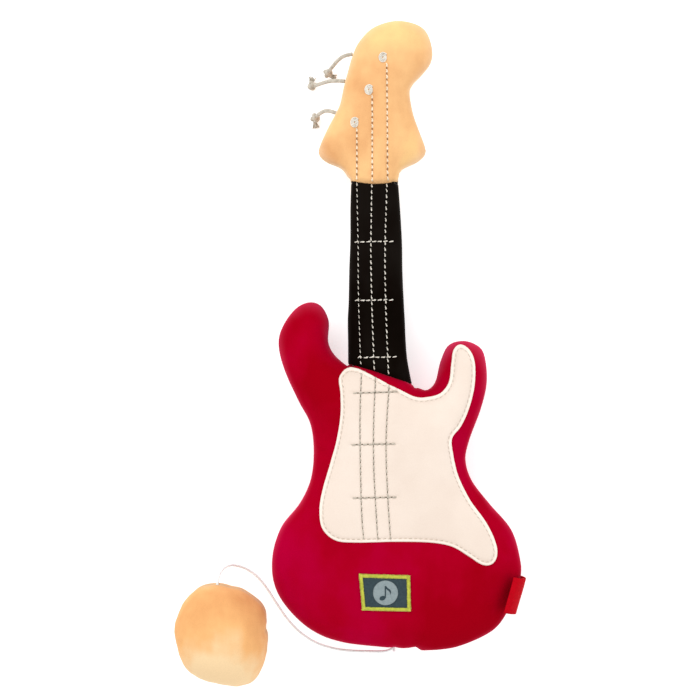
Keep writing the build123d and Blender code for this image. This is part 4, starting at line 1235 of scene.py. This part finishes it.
# the rolled edge outside the topstitch takes the lighter cream: painted highlight
guard.data.materials.append(MATERIALS["cream_highlight"])
rim = Nearest(spline(PICKGUARD, 0.25, True)).distance(np.array(points)[:, :2]) < GUARD_RIM
for polygon in guard.data.polygons:
    polygon.material_index = int(all(rim[k] for k in polygon.vertices))
finish_piece(guard, "root", "cream_cloth", "pickguard")
guard_tree = tree_of(guard_top, guard_faces)
full_skin = Skin(base_tree, guard_tree)


# ---------------------------------------------------------------- build: stitches
def sewn(label, runs, skin, slot_name, nodes, threads, radius=0.4, proud=0.36):
    """Stitches along the planned runs. threads gives, for the runs whose names begin with a word,
    the thread's material and that of a dark copy of the thread laid across the gaps between
    stitches: painted shadow at the needle holes."""
    pile, spans = Pile(), []
    for name in runs:
        thread_name, shadow_thread_name = next(pair for word, pair in threads.items() if name.startswith(word))
        faint = name == "neck_left"
        first = len(pile.faces)
        thick = 0.28 if faint else radius * {"head": 1.3, "neck": 0.86}.get(name[:4], 1.0)
        for a, b in plans[name]:
            stitch(pile, skin, a, b, thick * rng.uniform(0.93, 1.07), 0.1 if faint else proud,
                   lean=0.16 * rng.uniform(0.5, 1.3))
        spans.append((first, len(pile.faces), thread_name))
        if shadow_thread_name:
            # short stitches in a dark thread across each gap: painted shadow at the holes
            first = len(pile.faces)
            for (_, a), (b, _) in zip(plans[name], plans[name][1:]):
                gap = b - a
                if np.linalg.norm(gap) > 0.3:
                    stitch(pile, skin, a - gap * 0.15, b + gap * 0.15, thick * 0.85, proud * 0.35,
                           sunk=0.25)
            spans.append((first, len(pile.faces), shadow_thread_name))
    piece = make_object(label, pile.points, pile.faces, None)
    names = sorted({span[2] for span in spans}, key=[span[2] for span in spans].index)
    for name in names:
        piece.data.materials.append(MATERIALS[name])
    for first, last, name in spans:
        for polygon in piece.data.polygons[first:last]:
            polygon.material_index = names.index(name)
    return finish_piece(piece, "root", slot_name, *nodes)


# on the body the thread is a darker copy, painted shade in the guard's grooves, and the second of each pair
# paints shadow in the holes
STRING_THREADS = {"head": ("head_thread", "brown_thread"), "neck": ("white_thread", None),
                  "body": ("pick_thread", "hole_thread")}
for side in STRINGS:
    sewn(f"string_{side}", [f"head_{side}", f"neck_{side}", f"body_{side}"], full_skin, "white_thread",
         [f"string_thread_{side}"], STRING_THREADS)
sewn("fret_stitches", [f"fret_{k}" for k in range(3)], full_skin, "white_thread", ["fret_threads"],
     {"fret": ("white_thread", None)}, proud=0.55)
# the pickup rows take the same darker thread and painted hole shadow
sewn("pickup_stitches", [f"pickup_{k}" for k in range(3)], full_skin, "white_thread",
     ["pickup_threads"], {"pickup": ("pick_thread", "hole_thread")}, 0.44, 0.55)

inset = guard_outline + inward(guard_outline) * 2.0
inset = np.vstack([inset, inset[:1]])
plans["topstitch"] = plan([tuple(p) for p in inset], 2.9, 2.4, 0.05)
sewn("pickguard_stitches", ["topstitch"], full_skin, "grey_thread", ["pickguard_topstitch"],
     {"topstitch": ("grey_thread", None)}, 0.24, 0.12)

SPOT_TURNS, SPOT_STEPS = 3.1, 90  # each spot is a spiral of thread
spots = Pile()
for sx, sy in TUNER_SPOTS:
    path = []
    for k in range(SPOT_STEPS):
        t = k / (SPOT_STEPS - 1)
        angle = 2 * math.pi * SPOT_TURNS * t + 0.6
        reach = 2.65 - 2.3 * t
        x, y = sx + 0.9 * reach * math.cos(angle), sy + 1.12 * reach * math.sin(angle)
        hit, normal = base_skin.drop(x, y)
        path.append(hit + normal * (0.42 - 0.3 * t))
    spots.tube(path, [0.38 + 0.05 * math.sin(k * 1.9) for k in range(SPOT_STEPS)], 8)
spot_piece = make_object("tuner_embroidery", spots.points, spots.faces, MATERIALS["white_thread"])
finish_piece(spot_piece, "root", "white_thread", "tuner_spots")


# ---------------------------------------------------------------- build: badge
def shape_on(skin, outline_points, step, rise, edge=0.35, sink=0.3):
    outline_points = np.array(outline_points, float)
    rows = [0.0, edge * 0.35, edge]
    flat, depth, triangles = triangulate(outline_points, rows, step)
    heights = [0.0, rise * 0.75, rise]
    return sheet_on(skin, flat, depth, triangles, rows, heights, sink=sink), triangles


def straight_loop(corners, step):
    runs = []
    for a, b in zip(corners, corners[1:] + corners[:1]):
        a, b = np.array(a, float), np.array(b, float)
        count = max(2, int(np.linalg.norm(b - a) / step))
        runs.append(a + (b - a) * np.linspace(0, 1, count, endpoint=False)[:, None])
    return np.vstack(runs)


badge_loop = straight_loop(BADGE, 0.9)
(points, triangles, patch_top), patch_faces = shape_on(base_skin, badge_loop, 1.2, 0.8)
patch = make_object("badge_cloth", points, triangles, MATERIALS["slate_cloth"])
finish_piece(patch, "root", "slate_cloth", "badge_patch")
patch_skin = Skin(tree_of(patch_top, patch_faces))

border = Pile()
corners = [np.array(c, float) for c in BADGE]
middle = sum(corners) / 4
BORDER_WIDTH, SATIN_PITCH = 1.75, 0.36
for a, b in zip(corners, corners[1:] + corners[:1]):
    run = np.linalg.norm(b - a)
    way = (b - a) / run
    across = np.array([-way[1], way[0]])
    if across @ (middle - (a + b) / 2) < 0:
        across = -across
    for k in range(int(run / SATIN_PITCH)):
        t = (k + 0.5) * SATIN_PITCH
        near_corner = min(t, run - t)
        width = min(BORDER_WIDTH, near_corner + 0.35)
        outer = a + way * (t + rng.uniform(-0.05, 0.05)) + across * (0.12 + rng.uniform(-0.06, 0.04))
        inner = outer + across * (width + rng.uniform(-0.1, 0.12)) + way * 0.2
        path = []
        for m in range(5):
            u = m / 4
            spot = outer + (inner - outer) * u
            found = patch_skin.drop(*spot) or base_skin.drop(*spot)
            arch = math.sin(math.pi * min(1, 0.12 + u * 0.78)) ** 0.6
            path.append(found[0] + found[1] * (0.02 + 0.5 * arch))
        border.tube(path, [0.17, 0.22, 0.23, 0.22, 0.17], 6)
border_piece = make_object("badge_edging", border.points, border.faces, MATERIALS["lime_thread"])
finish_piece(border_piece, "root", "lime_thread", "badge_border")

disc_centre, disc_r = middle, 7.0
disc_loop = [disc_centre + disc_r * np.array([math.cos(a), math.sin(a)])
             for a in np.linspace(0, 2 * math.pi, 64, endpoint=False)]
(points, triangles, disc_top), disc_faces = shape_on(patch_skin, disc_loop, 1.0, 0.45, 0.5, 0.1)
disc = make_object("badge_disc", points, triangles, MATERIALS["silver_thread"])
finish_piece(disc, "root", "silver_thread", "badge_medallion")
disc_skin = Skin(tree_of(disc_top, disc_faces))

note = Pile()


def note_shape(loop):
    (points, triangles, _), _ = shape_on(disc_skin, loop, 0.5, 0.3, 0.18, 0.05)
    note.add([tuple(p) for p in points], [tuple(int(i) for i in f) for f in triangles])


def tilted_oval(cx, cy, rx, ry, tilt):
    made = []
    for a in np.linspace(0, 2 * math.pi, 28, endpoint=False):
        x, y = rx * math.cos(a), ry * math.sin(a)
        made.append((cx + x * math.cos(tilt) - y * math.sin(tilt),
                     cy + x * math.sin(tilt) + y * math.cos(tilt)))
    return made


nx, ny = disc_centre
note_shape(tilted_oval(nx - 1.7, ny - 2.9, 1.75, 1.25, 0.35))
note_shape(straight_loop([(nx - 0.45, ny - 2.7), (nx + 0.25, ny - 2.7), (nx + 0.25, ny + 3.9),
                          (nx - 0.45, ny + 3.9)], 0.3))
note_shape(spline([(nx + 0.3, ny + 3.9), (nx + 0.2, ny + 2.4), (nx + 1.4, ny + 1.5), (nx + 2.5, ny + 0.2),
                   (nx + 2.6, ny - 1.0), (nx + 3.1, ny + 0.4), (nx + 2.6, ny + 1.8), (nx + 1.2, ny + 2.9)],
                  0.3, True))
note_piece = make_object("badge_note_stitch", note.points, note.faces, MATERIALS["slate_cloth"])
finish_piece(note_piece, "root", "slate_cloth", "badge_note")


# ---------------------------------------------------------------- build: side tag
TAG_START, TAG_END = np.array([67.8, -136.6]), np.array([62.3, -156.6])
TAG_PROFILE = [(-0.6, 24.2), (1.4, 24.6), (3.2, 26.4), (3.8, 31.0), (2.6, 36.4), (-0.6, 41.2), (-4.4, 44.0)]


def add_tag():
    """A ribbon folded in half and caught in the seam, turned up against the body's side."""
    run = TAG_END - TAG_START
    out = np.array([-run[1], run[0]]) / np.linalg.norm(run)
    if out @ np.array([1.0, 0.0]) < 0:
        out = -out
    profile = spline(TAG_PROFILE, 0.6, False)
    count, across = len(profile), 18
    layers = []
    for side in (1, -1):
        rows = []
        for k, (o, z) in enumerate(profile):
            t = k / (count - 1)
            gap = 0.32 * math.sin(math.pi * min(1.0, t * 1.02)) ** 0.5 + 0.05
            slope = np.gradient(profile, axis=0)[k]
            slope = slope / np.linalg.norm(slope)
            push = np.array([slope[1], -slope[0]]) * gap * side
            row = []
            for j in range(across + 1):
                s = j / across
                bow = 0.5 * math.sin(math.pi * s) * t + 0.25 * math.sin(5 * s + 2 * t)
                base = TAG_START + run * s + out * (o + push[0] + bow * t)
                row.append((base[0], base[1], z + push[1] + 0.3 * math.sin(3.1 * s) * t))
            rows.append(row)
        layers.append(rows)
    loop = layers[0] + layers[1][::-1]
    points = [p for row in loop for p in row]
    width, total = across + 1, len(loop)
    quads = []
    for k in range(total - 1):
        for j in range(across):
            a = k * width + j
            quads.append((a, a + 1, a + width + 1, a + width))
    piece = make_object("side_ribbon", points, quads, MATERIALS["red_ribbon"])
    add_thickness(piece, 0.28)
    piece.modifiers[-1].offset = 0
    finish_piece(piece, "root", "red_ribbon", "side_tag")


add_tag()


# ---------------------------------------------------------------- build: pull ball
BALL_OUTLINE = [
    (-103.5, -141.2), (-110.6, -142.2), (-116, -145), (-122.6, -152.4), (-126.2, -161), (-127.6, -167.4),
    (-126, -175.6), (-123.4, -184.6), (-118.4, -191.6), (-111.6, -195.2), (-104, -197.6), (-97, -198.9),
    (-89.6, -199.2), (-81.6, -196), (-76.8, -188.6), (-74.7, -179.4), (-74.2, -171), (-75.6, -167.2),
    (-74.9, -162), (-77, -153.8), (-83, -148.4), (-89.6, -144.2), (-96.4, -142.9),
]


def ball_reach(theta):
    """How far the ball's seam is from its middle, in each direction."""
    loop = spline(BALL_OUTLINE, 0.8, True) - np.array(BALL_CENTRE[:2])
    angle, reach = np.arctan2(loop[:, 1], loop[:, 0]), np.hypot(loop[:, 0], loop[:, 1])
    order = np.argsort(angle)
    return np.interp(theta, angle[order], reach[order], period=2 * math.pi)


BALL_DIRECTIONS = np.linspace(0, 2 * math.pi, 361)
BALL_REACHES = ball_reach(BALL_DIRECTIONS)


def ball_point(theta, phi):
    """A stuffed ball sewn from two discs: an uneven seam with puckers, and full cheeks."""
    reach = np.interp(theta % (2 * math.pi), BALL_DIRECTIONS, BALL_REACHES)
    even = abs(math.sin(phi)) ** 1.5
    reach = reach * (1 - even) + BALL_MEAN * even
    radius = reach * abs(math.cos(phi)) ** 0.86
    x, y = radius * math.cos(theta), radius * math.sin(theta)
    z = BALL_HALF_HEIGHT * math.copysign(abs(math.sin(phi)) ** 0.94, phi)
    gather = 1 - 0.03 * math.exp(-((phi / 0.07) ** 2))
    fold = noise.noise((math.cos(theta) * 5, math.sin(theta) * 5, 0.6 * phi))
    pucker = 1 + 0.018 * math.exp(-((phi / 0.5) ** 2)) * fold
    lump = 1 + 0.012 * noise.noise((x / 16 + 3, y / 16, z / 16))
    x, y = x * gather * pucker * lump, y * gather * pucker * lump
    return x, y, z * lump


BALL_AROUND, BALL_UP = 160, 36


def ball_panel(sign):
    points = []
    for k in range(BALL_UP):
        phi = (k / BALL_UP) ** 1.15 * math.pi / 2 * sign
        for j in range(BALL_AROUND):
            x, y, z = ball_point(2 * math.pi * j / BALL_AROUND, phi)
            points.append((x + BALL_CENTRE[0], y + BALL_CENTRE[1], z + BALL_CENTRE[2]))
    points.append((BALL_CENTRE[0], BALL_CENTRE[1], BALL_CENTRE[2] * (1 + sign * 0.985)))
    quads = ring_quads(BALL_UP, BALL_AROUND)
    last = (BALL_UP - 1) * BALL_AROUND
    for j in range(BALL_AROUND):
        quads.append((last + j, last + (j + 1) % BALL_AROUND, len(points) - 1))
    if sign < 0:
        quads = [q[::-1] for q in quads]
    return np.array(points), quads


def resting(points, flat_at=0.03, soft=1.0):
    points = points.copy()
    z = points[:, 2]
    points[:, 2] = np.where(z < 8, soft * np.logaddexp(0, z / soft) + flat_at - 0.01, z)
    return points


ball_top, ball_quads = ball_panel(1)
ball_low, low_quads = ball_panel(-1)
ball_low = resting(ball_low)
both = np.vstack([ball_top, ball_low])
all_faces = [tuple(q) for q in ball_quads] + [tuple(i + len(ball_top) for i in q) for q in low_quads]
start, move = settle(both, all_faces, voxel=4.0, pressure=4.0, cap=2.0)
both = both + carry(both, start, move * np.array([0.5, 0.5, 0.6]), reach=8.0)
both[:, 2] = np.maximum(both[:, 2], 0.02)
ball_top, ball_low = both[: len(ball_top)], both[len(ball_top):]
for label, points, quads in (("front", ball_top, ball_quads), ("back", ball_low, low_quads)):
    piece = make_object(f"ball_{label}", points, quads, MATERIALS["ball_velour"])
    add_thickness(piece, CLOTH_THICK)
    finish_piece(piece, "pull", "orange_velour", f"ball_{label}_panel")
add_fill("ball_fill", both, all_faces, "pull", "ball_stuffing")


# ---------------------------------------------------------------- build: movement, kept from CAD
FINISHES = {
    "case_plastic": ["case_base", "case_cover", "cord_guide"],
    "gear_plastic": ["drum_wheel", "cord_drum", "cylinder_pinion", "cylinder_wheel", "governor_pinion",
                     "governor_wheel", "fan_pinion", "governor_fan"],
    "steel": ["case_screws", "mainspring", "comb", "drum_arbor", "cylinder_pins", "cylinder_arbor",
              "governor_arbor", "fan_arbor"],
    "brass": ["comb_screws", "pinned_cylinder"],
    "white_cord": ["inner_cord", "cord_winding", "ball_cord_knot"],
}
for finish, names in FINISHES.items():
    for name in names:
        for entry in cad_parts[name].material_slots:
            entry.material = MATERIALS[finish]


# ---------------------------------------------------------------- build: floor
FLOOR_REACH, FLOOR_Z = 30, -0.0002  # just under the toy, wide enough to fill low views


def add_floor():
    """A pale floor with a glow of its own, which brings it to the photograph's white ground."""
    g = Graph("pale floor")
    g.set(Base_Color=g.ramp(g.noise(4.0), (0.4, (0.745, 0.745, 0.745)), (0.6, (0.755, 0.755, 0.755))),
          Roughness=0.85, Specular_IOR_Level=0.1, Emission_Color=(1.0, 1.0, 1.0), Emission_Strength=0.58)
    mesh = bpy.data.meshes.new("floor")
    corners = [(x * FLOOR_REACH, y * FLOOR_REACH, FLOOR_Z) for x, y in ((-1, -1), (1, -1), (1, 1), (-1, 1))]
    mesh.from_pydata(corners, [], [(0, 1, 2, 3)])
    mesh.materials.append(g.material)
    floor = bpy.data.objects.new("floor", mesh)
    bpy.context.collection.objects.link(floor)


add_floor()
